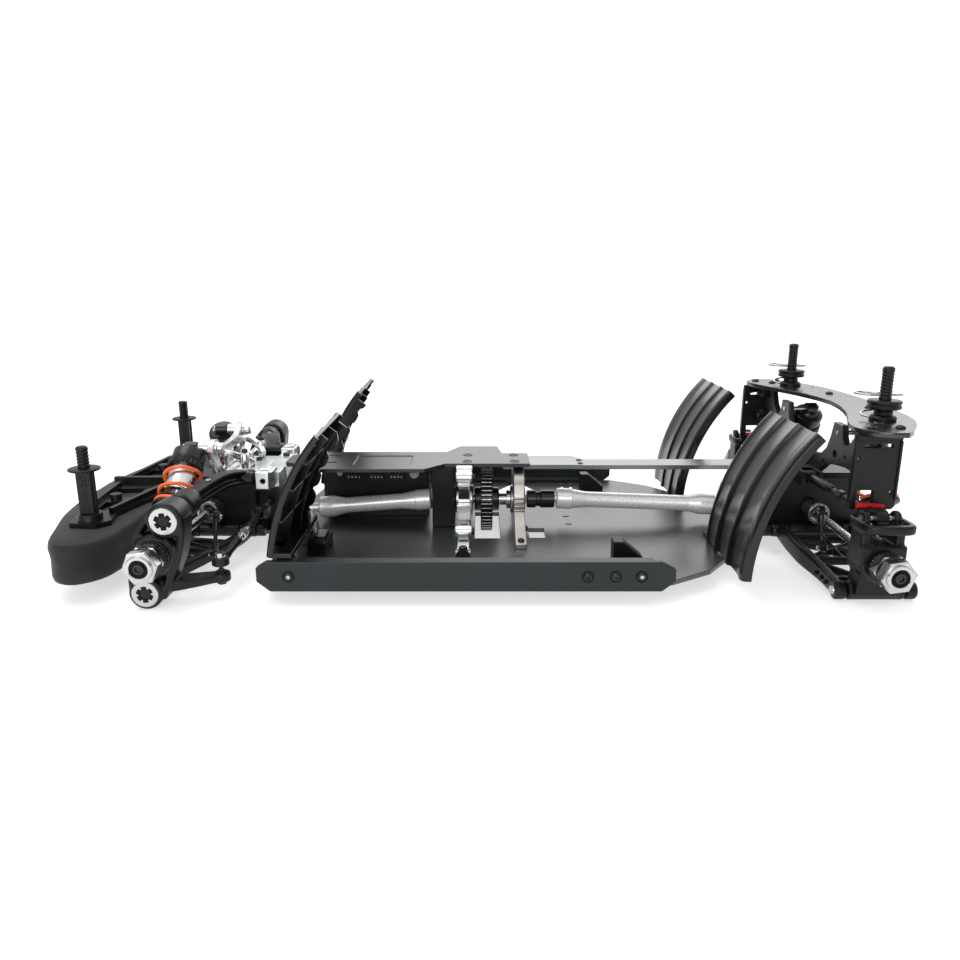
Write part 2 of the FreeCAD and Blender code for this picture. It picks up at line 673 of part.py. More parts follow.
def tie_rod():
    p = (RACK_X, RACK_Y, RACK_Z)
    q = (TIE_X, TIE_Y, TIE_Z)
    parts = [
        rod((RACK_X - 2.2, RACK_Y, RACK_Z), (RACK_X + 2.2, RACK_Y, RACK_Z), 4.0),
        beam(along(p, q, 3.0), along(p, q, 20), 4.4, 5.0),
        rod(along(p, q, 19), along(p, q, 48), 1.9),
        rod(along(p, q, 30), along(p, q, 36), 2.9),
        beam(along(p, q, 47), along(p, q, 62), 4.4, 5.0),
        rod((TIE_X, TIE_Y, 18.4), (TIE_X, TIE_Y, 24.0), 4.8),
    ]
    return cut(fuse(parts), [rod((-160, RACK_Y, RACK_Z), (-140, RACK_Y, RACK_Z), PIN_R + 0.3)])


def steering_rack():
    """Sliding bar that carries the inner end of both tie rods."""
    parts = [rod((RACK_X, -33, RACK_Z), (RACK_X, 33, RACK_Z), 2.75)]
    for s in (1, -1):
        inner = s * 32
        outer = s * RACK_Y
        y0 = min(inner, outer + s * 3)
        y1 = max(inner, outer + s * 3)
        web0 = min(inner, s * 35)
        web1 = max(inner, s * 35)
        parts.append(box(RACK_X - 5, RACK_X - 2.8, y0, y1, RACK_Z - 3, RACK_Z + 3))
        parts.append(box(RACK_X + 2.8, RACK_X + 5, y0, y1, RACK_Z - 3, RACK_Z + 3))
        parts.append(box(RACK_X - 5, RACK_X + 5, web0, web1, RACK_Z - 3, RACK_Z + 3))
        parts.append(rod((RACK_X - 5, outer, RACK_Z), (RACK_X + 5, outer, RACK_Z), PIN_R))
    return fuse(parts)


# ---------------------------------------------------------- rear corners

def rear_lower_arm():
    """Lattice arm with two inner barrels, outer ears and a shock fork."""
    y = R_ARM_Y
    z = R_ARM_Z
    low = R_SHOCK_LOW
    front_out = (199.2, R_LOW_Y, R_LOW_Z)
    rear_out = (239.2, R_LOW_Y, R_LOW_Z)
    parts = [
        rod((187.5, y, z), (199.5, y, z), 4.4),
        rod((234.0, y, z), (246.0, y, z), 4.4),
        beam((193, y, z), front_out, 5, 8),
        beam((240, y, z), rear_out, 5, 8),
        rod((196, R_LOW_Y, R_LOW_Z), (202.4, R_LOW_Y, R_LOW_Z), 5.2),
        rod((236.0, R_LOW_Y, R_LOW_Z), (242.4, R_LOW_Y, R_LOW_Z), 5.2),
        rod((197, R_LOW_Y, R_LOW_Z), (242, R_LOW_Y, R_LOW_Z), PIN_R),
        beam((194, 44, 13.4), (240, 44, 13.4), 4, 6),
        beam((196, 72, 10.0), (240, 72, 10.0), 4, 6),
        beam((198, 99, 6.9), (240, 99, 6.9), 4, 6),
        beam((194, 44, 13.4), (238, 72, 10.0), 3, 5),
        beam((240, 44, 13.4), (196, 72, 10.0), 3, 5),
        beam((196, 72, 10.0), (238, 99, 6.9), 3, 5),
        beam((238, 72, 10.0), (198, 99, 6.9), 3, 5),
        box(low[0] - 7.4, low[0] - 5.4, 82, 90, 4, 22.5),
        box(low[0] + 5.4, low[0] + 7.4, 82, 90, 4, 22.5),
        box(low[0] - 7.4, low[0] + 7.4, 82, 90, 4, 12),
        rod((low[0] - 7, low[1], low[2]), (low[0] + 7, low[1], low[2]), PIN_R),
    ]
    arm = fuse(parts)
    return cut(arm, [rod((180, y, z), (255, y, z), PIN_BORE)])


def rear_carrier():
    """Hub carrier: bearing barrel, lower pivot barrel and an open top loop."""
    x = REAR_X
    z = R_HUB_Z
    parts = [
        rod((x, 103, z), (x, 121, z), 12.0),
        rod((203, R_LOW_Y, R_LOW_Z), (235.4, R_LOW_Y, R_LOW_Z), R_LOW_Z),
        box(205, 229, 105, 119, 5, 20),
        box(204, 209, 105, 121, 24, 45),
        box(223, 228, 105, 121, 24, 45),
        box(204, 228, 119, 122.5, 24, 45),
        box(203, 208.5, 103, 128, 44, 49),
        box(221.5, 231, 103, 128, 44, 49),
        box(203, 231, 123, 128, 44, 49),
        rod((206, 115, R_LINK_OUT[2]), (224, 115, R_LINK_OUT[2]), PIN_R),
        box(205, 208, 111, 119, 48, 53),
        box(222, 225, 111, 119, 48, 53),
    ]
    body = fuse(parts)
    tools = [
        rod((x, 90, z), (x, 116.6, z), 9.0),
        rod((x, 90, z), (x, 130, z), AXLE_R + 0.3),
        rod((190, R_LOW_Y, R_LOW_Z), (250, R_LOW_Y, R_LOW_Z), PIN_BORE),
        box(209, 223, 118.8, 125, 38, 44),
    ]
    return cut(body, tools)


def rear_upper_link():
    p = R_LINK_IN
    q = R_LINK_OUT
    parts = [
        rod((p[0] - 3, p[1], p[2]), (p[0] + 3, p[1], p[2]), 4.2),
        rod(along(p, q, 3), along(p, q, 26), 3.0),
        rod(along(p, q, 25), along(p, q, 50), 2.2),
        rod(along(p, q, 49), along(p, q, 74), 3.0),
        rod((q[0] - 3.4, q[1], q[2]), (q[0] + 3.4, q[1], q[2]), 4.6),
    ]
    tools = [rod((p[0] - 9, p[1], p[2]), (p[0] + 9, p[1], p[2]), PIN_R + 0.3),
             rod((q[0] - 9, q[1], q[2]), (q[0] + 9, q[1], q[2]), PIN_R + 0.9)]
    return cut(fuse(parts), tools)


def link_brackets():
    """Ears on the rear gearbox that hold the inner ends of the upper links."""
    p = R_LINK_IN
    out = []
    for s in (1, -1):
        y0 = min(s * 22, s * (p[1] + 3.5))
        y1 = max(s * 22, s * (p[1] + 3.5))
        ears = [box(p[0] - 6.5, p[0] - 3.9, y0, y1, p[2] - 5, p[2] + 4),
                box(p[0] + 3.9, p[0] + 6.5, y0, y1, p[2] - 5, p[2] + 4),
                box(p[0] - 6.5, p[0] + 6.5, min(s * 22, s * 30), max(s * 22, s * 30), p[2] - 5, p[2] + 4),
                rod((p[0] - 6, s * p[1], p[2]), (p[0] + 6, s * p[1], p[2]), PIN_R)]
        out.append(fuse(ears))
    return out


# ----------------------------------------------------------------- shocks

def shock_body(top, low):
    """Top eye, cap, knurled collar and threaded cylinder of a shock."""
    knurls = []
    axis = vec(low) - vec(top)
    axis.normalize()
    side = axis.cross(FreeCAD.Vector(1, 0, 0))
    side.normalize()
    other = axis.cross(side)
    for k in range(24):
        a = 2 * math.pi * k / 24
        reach = (side * math.cos(a) + other * math.sin(a)) * 11.2
        p = vec(along(top, low, 13)) + reach
        q = vec(along(top, low, 17.2)) + reach
        knurls.append(rod((p.x, p.y, p.z), (q.x, q.y, q.z), 0.5))
    parts = [
        rod((top[0] - 4, top[1], top[2]), (top[0] + 4, top[1], top[2]), 4.2),
        rod(along(top, low, 1.5), along(top, low, 4), 5.5),
        rod(along(top, low, 3.5), along(top, low, 13.2), 10.0),
        rod(along(top, low, 13), along(top, low, 17), 11.0),
        rod(along(top, low, 16), along(top, low, 34), 8.0),
    ]
    tools = [rod((top[0] - 9, top[1], top[2]), (top[0] + 9, top[1], top[2]), PIN_R + 0.1),
             rod(along(top, low, 14), along(top, low, 35), 2.6)]
    return cut(fuse(parts), tools + knurls)


def shock_shaft(top, low, end):
    """Piston rod with the lower spring seat and the lower eye."""
    parts = [
        rod(along(top, low, 26), along(top, low, end), 2.0),
        rod(along(top, low, SEAT_AT), along(top, low, SEAT_AT + 2.5), 11.6),
        rod(along(top, low, SEAT_AT + 2), along(top, low, end - 2), 2.8),
        rod((low[0] - 4.2, low[1], low[2]), (low[0] + 4.2, low[1], low[2]), 4.0),
    ]
    return cut(fuse(parts), [rod((low[0] - 9, low[1], low[2]), (low[0] + 9, low[1], low[2]), PIN_R + 0.5)])


def spring(top, low):
    """Coil between the collar and the lower seat of a shock, ruled through its sections."""
    height = SEAT_AT - 17.0 - 2 * WIRE_R - 0.2
    start = along(top, low, 17.0 + WIRE_R + 0.1)
    axis = vec(low) - vec(top)
    axis.normalize()
    side = axis.cross(FreeCAD.Vector(1, 0, 0))
    side.normalize()
    other = axis.cross(side)
    steps = int(COIL_TURNS * 20)
    sections = []
    for k in range(steps + 1):
        turn = 2 * math.pi * COIL_TURNS * k / steps
        out = side * math.cos(turn) + other * math.sin(turn)
        centre = vec(start) + axis * (height * k / steps) + out * COIL_R
        corners = []
        for m in range(8):
            a = 2 * math.pi * m / 8
            corners.append(centre + out * (WIRE_R * math.cos(a)) + axis * (WIRE_R * math.sin(a)))
        sections.append(Part.makePolygon(corners + [corners[0]]))
    return Part.makeLoft(sections, True, True)


# ----------------------------------------------------------------- export

def length(p, q):
    return (vec(q) - vec(p)).Length


def add_pair(nodes, name, shape):
    nodes[name + "_right"] = [shape]
    nodes[name + "_left"] = [mirrored(shape)]


def build():
    nodes = {
        "chassis_plate": [chassis_plate()],
        "side_guards": both(side_guard()),
        "upper_deck": [upper_deck()],
        "rear_brace": [rear_brace()],
        "gearboxes": gearboxes() + link_brackets(),
        "front_tower": [front_tower()],
        "upper_arm_mount": [upper_arm_mount()],
        "rear_tower": [rear_tower()],
        "side_plates": side_plates(),
        "rear_top_plate": [rear_top_plate()],
        "front_bumper": [front_bumper()],
        "bumper_brace": [bumper_brace()],
        "body_posts": both(front_post()) + both(rear_post()),
        "body_clips": both(body_clip()),
        "mud_guards": both(front_mud_guard()) + both(rear_mud_guard()),
        "centre_mounts": centre_mounts(),
        "radio_boxes": radio_boxes(),
        "fasteners": fasteners(),
        "spur_gear": [spur_gear()],
        "front_shaft": [front_shaft()],
        "rear_shaft": [rear_shaft()],
        "front_spool": [spool(FRONT_X, F_DIFF_Z, 20, 1)],
        "rear_spool": [spool(REAR_X, R_DIFF_Z, 22, 1)],
        "steering_rack": [steering_rack()],
    }
    add_pair(nodes, "front_lower_arm", front_lower_arm())
    add_pair(nodes, "front_upper_arm", front_upper_arm())
    add_pair(nodes, "front_ball_liner", ball_liner())
    add_pair(nodes, "front_upright", front_upright())
    add_pair(nodes, "front_hub", hub(FRONT_X, F_HUB_Z, 108.5, 146))
    add_pair(nodes, "front_half_shaft", half_shaft(FRONT_X, 30.5, F_DIFF_Z, F_BALL_Y, F_HUB_Z))
    add_pair(nodes, "tie_rod", tie_rod())
    add_pair(nodes, "front_shock_body", shock_body(F_SHOCK_TOP, F_SHOCK_LOW))
    closed = length(F_SHOCK_TOP, F_SHOCK_LOW) - 1
    add_pair(nodes, "front_shock_shaft", shock_shaft(F_SHOCK_TOP, F_SHOCK_LOW, closed))
    add_pair(nodes, "front_spring", spring(F_SHOCK_TOP, F_SHOCK_LOW))
    add_pair(nodes, "rear_lower_arm", rear_lower_arm())
    add_pair(nodes, "rear_upper_link", rear_upper_link())
    add_pair(nodes, "rear_carrier", rear_carrier())
    add_pair(nodes, "rear_hub", hub(REAR_X, R_HUB_Z, 106.5, 144))
    add_pair(nodes, "rear_half_shaft", half_shaft(REAR_X, 32.5, R_DIFF_Z, R_LOW_Y, R_HUB_Z))
    add_pair(nodes, "rear_shock_body", shock_body(R_SHOCK_TOP, R_SHOCK_LOW))
    closed = length(R_SHOCK_TOP, R_SHOCK_LOW) - 1
    add_pair(nodes, "rear_shock_shaft", shock_shaft(R_SHOCK_TOP, R_SHOCK_LOW, closed))
    add_pair(nodes, "rear_spring", spring(R_SHOCK_TOP, R_SHOCK_LOW))
    return nodes


def main():
    os.makedirs("parts", exist_ok=True)
    for name, shapes in build().items():
        if len(shapes) == 1:
            shape = shapes[0]
        else:
            shape = Part.makeCompound(shapes)
        shape.exportStep(os.path.join("parts", name + ".step"))


main()
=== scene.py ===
import math

import bmesh
import bpy
from mathutils import Matrix, Vector


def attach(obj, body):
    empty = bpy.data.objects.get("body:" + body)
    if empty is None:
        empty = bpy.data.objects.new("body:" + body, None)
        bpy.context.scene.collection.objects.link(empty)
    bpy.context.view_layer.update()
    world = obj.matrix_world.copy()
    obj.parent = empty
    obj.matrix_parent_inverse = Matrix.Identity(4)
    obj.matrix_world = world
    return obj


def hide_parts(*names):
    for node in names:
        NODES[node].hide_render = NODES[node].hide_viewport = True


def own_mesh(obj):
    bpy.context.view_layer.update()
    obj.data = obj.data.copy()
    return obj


# Looks of the drift car chassis. Lengths below are millimetres in the frame of
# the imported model: +X rearwards, +Y to the car's right, +Z up.

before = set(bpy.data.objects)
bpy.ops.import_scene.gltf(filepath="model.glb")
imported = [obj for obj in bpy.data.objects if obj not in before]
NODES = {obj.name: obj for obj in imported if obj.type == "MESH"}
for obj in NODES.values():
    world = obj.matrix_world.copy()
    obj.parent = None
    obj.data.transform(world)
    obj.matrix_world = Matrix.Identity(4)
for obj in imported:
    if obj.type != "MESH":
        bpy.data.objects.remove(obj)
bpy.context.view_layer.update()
MM = 0.001
SIDES = (("right", 1), ("left", -1))

PLATE_TOP = 12.1                # just above the chassis plate
DECK_TOP = 57.0
TOP_PLATE_TOP = 97.0
SHAFT_Z = 28                    # height of the centre shaft
# Axes across the car: X, Z.
FRONT_AXLE = (-184, 31)
REAR_AXLE = (216, 25)
TOP_BALL = (-176, 51.5)         # ball joints of a front upright
LOW_BALL = (-190, 9.5)
# Pins along the car: Y outwards, Z.
FRONT_HINGE = (27, 14)          # inner ends of the arms
TOP_HINGE = (38, 54)
REAR_HINGE = (30, 15)
CARRIER_HINGE = (110, 5.6)      # outer ends at the rear
CARRIER_EYE = (115, 50)
FRONT_SHOCK_PIN = (31, 71)      # shock eyes, upper and lower
FRONT_SHOCK_EYE = (86, 20)
REAR_SHOCK_PIN = (45, 84)
REAR_SHOCK_EYE = (86, 19)
# Upright lines: X, Y outwards.
FRONT_POST = (-237.0, 82.0)
REAR_POST = (231.0, 72.3)
TIE_END = (-154, 105)
# Ends of the sloping rods: X, Y outwards, Z.
TIE_IN = (-148, 40, 30)
TIE_OUT = (*TIE_END, 21)
REAR_LINK_IN = (206, 40, 54)
REAR_LINK_OUT = (215, *CARRIER_EYE)
# Centres of the mud guards' arcs: X, Z.
FENDER_FRONT = (8.6, 10.8)
FENDER_REAR = (270.3, 9.4)
# Coil springs. Distances along the shock start at its upper eye.
WIRE_R = 1.12
COIL_R = 10.4
HEX = ("flats", 6)
UP, REARWARDS, FORWARDS = (0, 0, 1), (1, 0, 0), (-1, 0, 0)


# ------------------------------------------------------------- materials

def add_node(tree, kind, links=(), **values):
    """Shader node with inputs linked and set by name; an underscore stands for a blank."""
    node = tree.nodes.new("ShaderNode" + kind)
    for socket, source in links:
        tree.links.new(source, node.inputs[socket])
    for socket, value in values.items():
        node.inputs[socket.replace("_", " ")].default_value = value
    return node


def new_material(name):
    """Empty material: itself, its tree, its shader and the object coordinates."""
    mat = bpy.data.materials.new(name)
    mat.use_nodes = True
    tree = mat.node_tree
    tree.nodes.clear()
    out = add_node(tree, "OutputMaterial")
    shader = add_node(tree, "BsdfPrincipled")
    tree.links.new(shader.outputs["BSDF"], out.inputs["Surface"])
    return mat, tree, shader, add_node(tree, "TexCoord").outputs["Object"]


def noise(tree, coords, scale, detail, rough=0.55):
    node = add_node(tree, "TexNoise", [("Vector", coords)], Scale=scale, Detail=detail, Roughness=rough)
    return node.outputs["Fac"]


def ramp_between(tree, source, low, high):
    ramp = add_node(tree, "ValToRGB", [("Fac", source)])
    for element, place, colour in zip(ramp.color_ramp.elements, (0.35, 0.65), (low, high)):
        element.position = place
        element.color = (*colour, 1)
    return ramp.outputs["Color"]


def rough_between(tree, source, low, high):
    span = add_node(tree, "MapRange", [("Value", source)], From_Min=0.3, From_Max=0.7, To_Min=low,
        To_Max=high)
    return span.outputs["Result"]


def bump(tree, shader, height, strength, depth_mm):
    node = add_node(tree, "Bump", [("Height", height)], Strength=strength, Distance=depth_mm * MM)
    tree.links.new(node.outputs["Normal"], shader.inputs["Normal"])


def tinted(colour, factor):
    return tuple(min(1.0, c * factor) for c in colour)


def surface(name, colour, rough, metal=0.0, grain=900.0, grain_mm=0.03, spread=0.25, patch=35.0,
        rough_span=0.08, coat=0.0, specular=0.5):
    """Colour patches, uneven gloss and a fine grain, all from object coordinates."""
    mat, tree, shader, coords = new_material(name)
    clouds = noise(tree, coords, patch, 4.0)
    ramp = ramp_between(tree, clouds, tinted(colour, 1 - spread), tinted(colour, 1 + spread))
    tree.links.new(ramp, shader.inputs["Base Color"])
    fine = noise(tree, coords, grain, 2.0, 0.6)
    tree.links.new(rough_between(tree, fine, rough - rough_span, rough + rough_span),
        shader.inputs["Roughness"])
    bump(tree, shader, fine, 0.5, grain_mm)
    shader.inputs["Metallic"].default_value = metal
    shader.inputs["Coat Weight"].default_value = coat
    shader.inputs["Coat Roughness"].default_value = 0.1
    shader.inputs["Specular IOR Level"].default_value = specular
    return mat


def foam_material():
    """Closed cell foam: pores over soft mottling."""
    mat, tree, shader, coords = new_material("foam")
    pores = add_node(tree, "TexVoronoi", [("Vector", coords)], Scale=900.0)
    clouds = noise(tree, coords, 60.0, 5.0)
    ramp = ramp_between(tree, clouds, (0.0075, 0.0085, 0.0095), (0.016, 0.0175, 0.0195))
    tree.links.new(ramp, shader.inputs["Base Color"])
    bump(tree, shader, pores.outputs["Distance"], 0.4, 0.08)
    shader.inputs["Roughness"].default_value = 0.78
    shader.inputs["Specular IOR Level"].default_value = 0.3
    shader.inputs["Sheen Weight"].default_value = 0.12
    shader.inputs["Sheen Roughness"].default_value = 0.5
    return mat


MAT = {
    "plate": surface("anodised_plate", (0.090, 0.093, 0.097), 0.32, 0.75, 900.0, 0.002, 0.10, 6.0, 0.03),
    "guard": surface("guard_plastic", (0.0105, 0.0135, 0.0155), 0.40, 0.0, 1500.0, 0.004, 0.12, 25.0, 0.05,
                     specular=0.32),
    "deck": surface("deck_anodised", (0.052, 0.054, 0.056), 0.32, 0.75, 900.0, 0.002, 0.10, 12.0, 0.03),
    "brace": surface("brace_metal", (0.17, 0.175, 0.18), 0.25, 0.85, 900.0, 0.002, 0.08, 12.0, 0.03),
    "moulded": surface("moulded_nylon", (0.0035, 0.0040, 0.0045), 0.38, 0.0, 1800.0, 0.008, 0.3, 60.0, 0.07,
                       specular=0.30),
    "fender": surface("fender_plastic", (0.0035, 0.0042, 0.0046), 0.21, 0.0, 1500.0, 0.001, 0.15, 25.0,
                      0.03, specular=0.40),
    "silver": surface("bright_aluminium", (0.74, 0.75, 0.76), 0.26, 1.0, 900.0, 0.002, 0.06, 50.0, 0.05),
    "tube": surface("satin_tube", (0.86, 0.865, 0.87), 0.30, 0.38, 900.0, 0.003, 0.04, 40.0, 0.05),
    "steel": surface("steel", (0.52, 0.515, 0.505), 0.24, 1.0, 900.0, 0.002, 0.08, 70.0, 0.05),
    "dark_steel": surface("dark_steel", (0.03, 0.031, 0.034), 0.3, 0.7, 900.0, 0.004, 0.25, 90.0, 0.06),
    # Painted shade: a matte near-black colour laid into bores, slots and screw seats to stand for the
    # shadow inside them.
    "painted_recess_shade": surface("painted_recess_shade_black", (0.003, 0.003, 0.0035), 0.7, 0.0, 900.0, 0.01, 0.3, 90.0, specular=0.2),
    "orange": surface("orange_coat", (0.88, 0.13, 0.012), 0.30, 0.0, 800.0, 0.004, 0.12, 80.0, coat=0.3),
    "red": surface("red_anodised", (0.60, 0.012, 0.012), 0.3, 0.4, 800.0, 0.004, 0.12, 80.0),
    "gear": surface("gear_plastic", (0.007, 0.007, 0.008), 0.28, 0.0, 1200.0, 0.006, 0.3, 70.0,
                    specular=0.45),
    "tower": surface("tower_anodised", (0.030, 0.032, 0.034), 0.30, 0.7, 900.0, 0.002, 0.12, 20.0, 0.04),
    "top_plate": surface("top_plate_satin", (0.060, 0.062, 0.064), 0.26, 0.8, 900.0, 0.002, 0.12,
                         18.0, 0.04),
    "liner": surface("acetal", (0.7, 0.7, 0.66), 0.35, 0.0, 900.0, 0.005, 0.05, 60.0),
    "foam": foam_material(),
    "casting": surface("cast_aluminium", (0.70, 0.72, 0.73), 0.33, 1.0, 1400.0, 0.02, 0.10, 90.0, 0.09),
    "bronze": surface("hard_anodised", (0.40, 0.385, 0.35), 0.34, 1.0, 900.0, 0.005, 0.08, 50.0, 0.06),
}

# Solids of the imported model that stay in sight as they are.
NODE_MATERIAL = {
    "chassis_plate": "plate", "side_guards": "guard", "upper_deck": "deck", "rear_brace": "brace",
    "gearboxes": "moulded", "bumper_brace": "moulded", "radio_boxes": "moulded",
    "front_spool": "steel", "rear_spool": "steel", "steering_rack": "dark_steel",
}
for side, _ in SIDES:
    NODE_MATERIAL["front_ball_liner_" + side] = "liner"
    NODE_MATERIAL["front_half_shaft_" + side] = "steel"
    NODE_MATERIAL["rear_half_shaft_" + side] = "steel"

# Slot name for each material.
SLOT = {
    "steel": "steel", "dark_steel": "steel", "moulded": "moulded_black", "gear": "moulded_black",
    "painted_recess_shade": "moulded_black", "red": "moulded_black", "silver": "silver_aluminium",
    "casting": "silver_aluminium", "bronze": "silver_aluminium", "tube": "silver_aluminium",
    "tower": "deck_grey", "top_plate": "deck_grey", "orange": "spring_orange", "foam": "foam_black",
    "fender": "guard_black",
}

# Edge rounding of the carried-over solids, in mm.
ROUNDING = {"moulded": 0.6, "plate": 0.3, "guard": 0.8, "deck": 0.3, "brace": 0.35, "steel": 0.3}

for node, material in NODE_MATERIAL.items():
    shown = NODES[node]
    for place in shown.material_slots:
        place.material = MAT[material]
    weld = shown.modifiers.new("weld", "WELD")
    weld.merge_threshold = 0.00001
    if material in ROUNDING:
        edge = shown.modifiers.new("edge", "BEVEL")
        edge.width = ROUNDING[material] * MM
        edge.segments = 2
        edge.limit_method = "ANGLE"
        edge.angle_limit = math.radians(38)
        edge.use_clamp_overlap = True
        edge.harden_normals = False


# ---------------------------------------------------------- shape tools

def sided(s):
    """Point maker for one side of the car: Y counts outwards from the middle."""
    return lambda x, y, z: Vector((x, s * y, z))


def on_axis(s, at):
    """Point maker along a cross axis at (X, Z): Y counts outwards from the middle."""
    return lambda y: Vector((at[0], s * y, at[1]))


def both_sides(half):
    """Outline closed by the mirror image of its half: (Y, Z) or (Y, X) pairs with Y from 0 up."""
    return half + [(-y, z) for y, z in reversed(half) if y > 0]


def curve_point(a, b, c, d, t):
    """Catmull-Rom point between b and c."""
    return 0.5 * (2 * b + (c - a) * t + (2 * a - 5 * b + 4 * c - d) * t * t
                  + (3 * b - a - 3 * c + d) * t ** 3)


def closed_curve(points, per_span):
    """Smooth closed curve through the points."""
    count = len(points)
    out = []
    for k in range(count):
        near = [points[(k + m) % count] for m in (-1, 0, 1, 2)]
        out += [curve_point(*near, m / per_span) for m in range(per_span)]
    return out



def frame_along(p, q):
    """Two cross directions and the unit direction from p to q."""
    w = (Vector(q) - Vector(p)).normalized()
    helper = Vector((0, 0, 1)) if abs(w.z) < 0.9 else Vector((1, 0, 0))
    u = w.cross(helper).normalized()
    return u, w.cross(u).normalized(), w


def ring_radius(r, form, k, n):
    """Radius of a ring's k-th point: round, polygonal or notched."""
    if form is None:
        return r
    kind, value = form
    if kind == "flats":
        sector = 2 * math.pi / value
        a = (2 * math.pi * k / n) % sector - sector / 2
        return r * math.cos(sector / 2) / math.cos(a)
    if kind == "teeth":
        return r - value if (k // 2) % 2 else r
    period, depth = value
    return r - depth if (k % period) < period // 3 else r


def lathe(bm, p, q, rings, n=48):
    """Turned solid along p to q. Each ring is (distance, radius) or (distance, radius, form)."""
    u, v, w = frame_along(p, q)
    loops = []
    for entry in rings:
        t, r = entry[0], entry[1]
        form = entry[2] if len(entry) > 2 else None
        centre = Vector(p) + w * t
        if r <= 0:
            loops.append([bm.verts.new(centre * MM)])
            continue
        loop = []
        for k in range(n):
            a = 2 * math.pi * k / n
            reach = ring_radius(r, form, k, n)
            loop.append(bm.verts.new((centre + (u * math.cos(a) + v * math.sin(a)) * reach) * MM))
        loops.append(loop)
    for a, b in zip(loops, loops[1:]):
        join_rings(bm, a, b)
    for end in (loops[0], loops[-1]):
        if len(end) > 2:
            bm.faces.new(end)


def lengthwise(at, half):
    """Both ends of a short axis along the car, centred on a point."""
    return at - Vector((half, 0, 0)), at + Vector((half, 0, 0))


def on_shaft(x0, x1):
    """Both ends of a stretch of the centre shaft."""
    return (x0, 0, SHAFT_Z), (x1, 0, SHAFT_Z)


def bush(bm, p, q, tip, r, n, chamfer=0.5):
    """Plain round bar or eye from p to q with chamfered ends."""
    span = round((Vector(q) - Vector(p)).length, 3)
    lathe(bm, p, q, [(0, tip), (chamfer, r), (span - chamfer, r), (span, tip)], n)


def join_rings(bm, a, b):
    """Faces between two loops; a loop of one point closes to a tip."""
    if len(a) == 1 and len(b) == 1:
        return
    count = max(len(a), len(b))
    for k in range(count):
        m = (k + 1) % count
        if len(a) == 1:
            bm.faces.new((a[0], b[m], b[k]))
        elif len(b) == 1:
            bm.faces.new((a[k], a[m], b[0]))
        else:
            bm.faces.new((a[k], a[m], b[m], b[k]))


def skin_over(bm, loops):
    """Closed skin over a row of loops with the same number of points."""
    for a, b in zip(loops, loops[1:]):
        join_rings(bm, a, b)
    bm.faces.new(loops[0])
    bm.faces.new(loops[-1])


def rounded_section(width, height, r):
    """Rounded rectangle as a list of 2D points."""
    steps = 3
    pts = []
    for cx, cy, start in ((1, 1, 0), (-1, 1, 90), (-1, -1, 180), (1, -1, 270)):
        for k in range(steps + 1):
            a = math.radians(start + 90 * k / steps)
            pts.append((cx * (width / 2 - r) + r * math.cos(a), cy * (height / 2 - r) + r * math.sin(a)))
    return pts


def smooth_path(points, per_span=6):
    """Catmull-Rom curve through the points."""
    pts = [Vector(p) for p in points]
    pts = [pts[0] * 2 - pts[1]] + pts + [pts[-1] * 2 - pts[-2]]
    out = []
    for k in range(1, len(pts) - 2):
        a, b, c, d = pts[k - 1:k + 3]
        out += [curve_point(a, b, c, d, m / per_span) for m in range(per_span)]
    out.append(pts[-2])
    return out


def sweep(bm, path, section, up=(0, 0, 1), scale=None, closed=False):
    """Section (sideways, upwards) carried along a path, ends capped unless closed."""
    count = len(path)
    loops = []
    for k, p in enumerate(path):
        before = path[(k - 1) % count] if closed or k else path[0]
        after = path[(k + 1) % count] if closed or k < count - 1 else path[-1]
        w = (Vector(after) - Vector(before)).normalized()
        side = w.cross(Vector(up)).normalized()
        lift = side.cross(w).normalized()
        s = scale[k] if scale else (1, 1)
        loops.append([bm.verts.new((Vector(p) + side * x * s[0] + lift * y * s[1]) * MM) for x,
            y in section])
    if not closed:
        skin_over(bm, loops)
        return
    for a, b in zip(loops, loops[1:] + loops[:1]):
        join_rings(bm, a, b)


def tube(bm, points, r):
    """Round wire through the points."""
    sweep(bm, smooth_path(points), round_loop(0, 0, r, 12), up=(0.13, 0.21, 0.97))


def slab(bm, outline, lift, drop=(0, 0, 1)):
    """Prism: outline points moved by lift along the drop direction."""
    low = [bm.verts.new(Vector(p) * MM) for p in outline]
    high = [bm.verts.new((Vector(p) + Vector(drop) * lift) * MM) for p in outline]
    skin_over(bm, [low, high])


def block(bm, x, y, z, lift):
    """Box over an (X, X) by (Y, Y) rectangle at height z."""
    slab(bm, [(x[0], y[0], z), (x[1], y[0], z), (x[1], y[1], z), (x[0], y[1], z)], lift)


def wall(bm, x, y, z, lift):
    """Box over an (X, X) by (Z, Z) rectangle that stands at y."""
    slab(bm, [(x[0], y, z[0]), (x[1], y, z[0]), (x[1], y, z[1]), (x[0], y, z[1])], lift, (0, 1, 0))


def finish_mesh(name, bm, material, body="chassis", edge=0, replaced=(), angle=35, slot=None):
    """Turns the bmesh into a piece that rides on its body."""
    bmesh.ops.recalc_face_normals(bm, faces=bm.faces)
    mesh = bpy.data.meshes.new(name)
    bm.to_mesh(mesh)
    bm.free()
    return add_piece(name, mesh, material, body, edge, replaced, angle, slot)


def add_piece(name, mesh, material, body="chassis", edge=0, replaced=(), angle=35, slot=None):
    """Scene object for a finished mesh. A slot name is worked out from the material unless it is given, but
    the piece is not given it.
    """
    slot = slot or SLOT[material]
    mesh.shade_smooth()
    mesh.set_sharp_from_angle(angle=math.radians(angle))
    obj = bpy.data.objects.new(name, mesh)
    bpy.context.scene.collection.objects.link(obj)
    mesh.materials.clear()
    mesh.materials.append(MAT[material])
    if edge > 0:
        bevel = obj.modifiers.new("edge", "BEVEL")
        bevel.width = edge * MM
        bevel.segments = 2
        bevel.limit_method = "ANGLE"
        bevel.angle_limit = math.radians(40)
    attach(obj, body)
    if replaced:
        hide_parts(*replaced)
    return obj


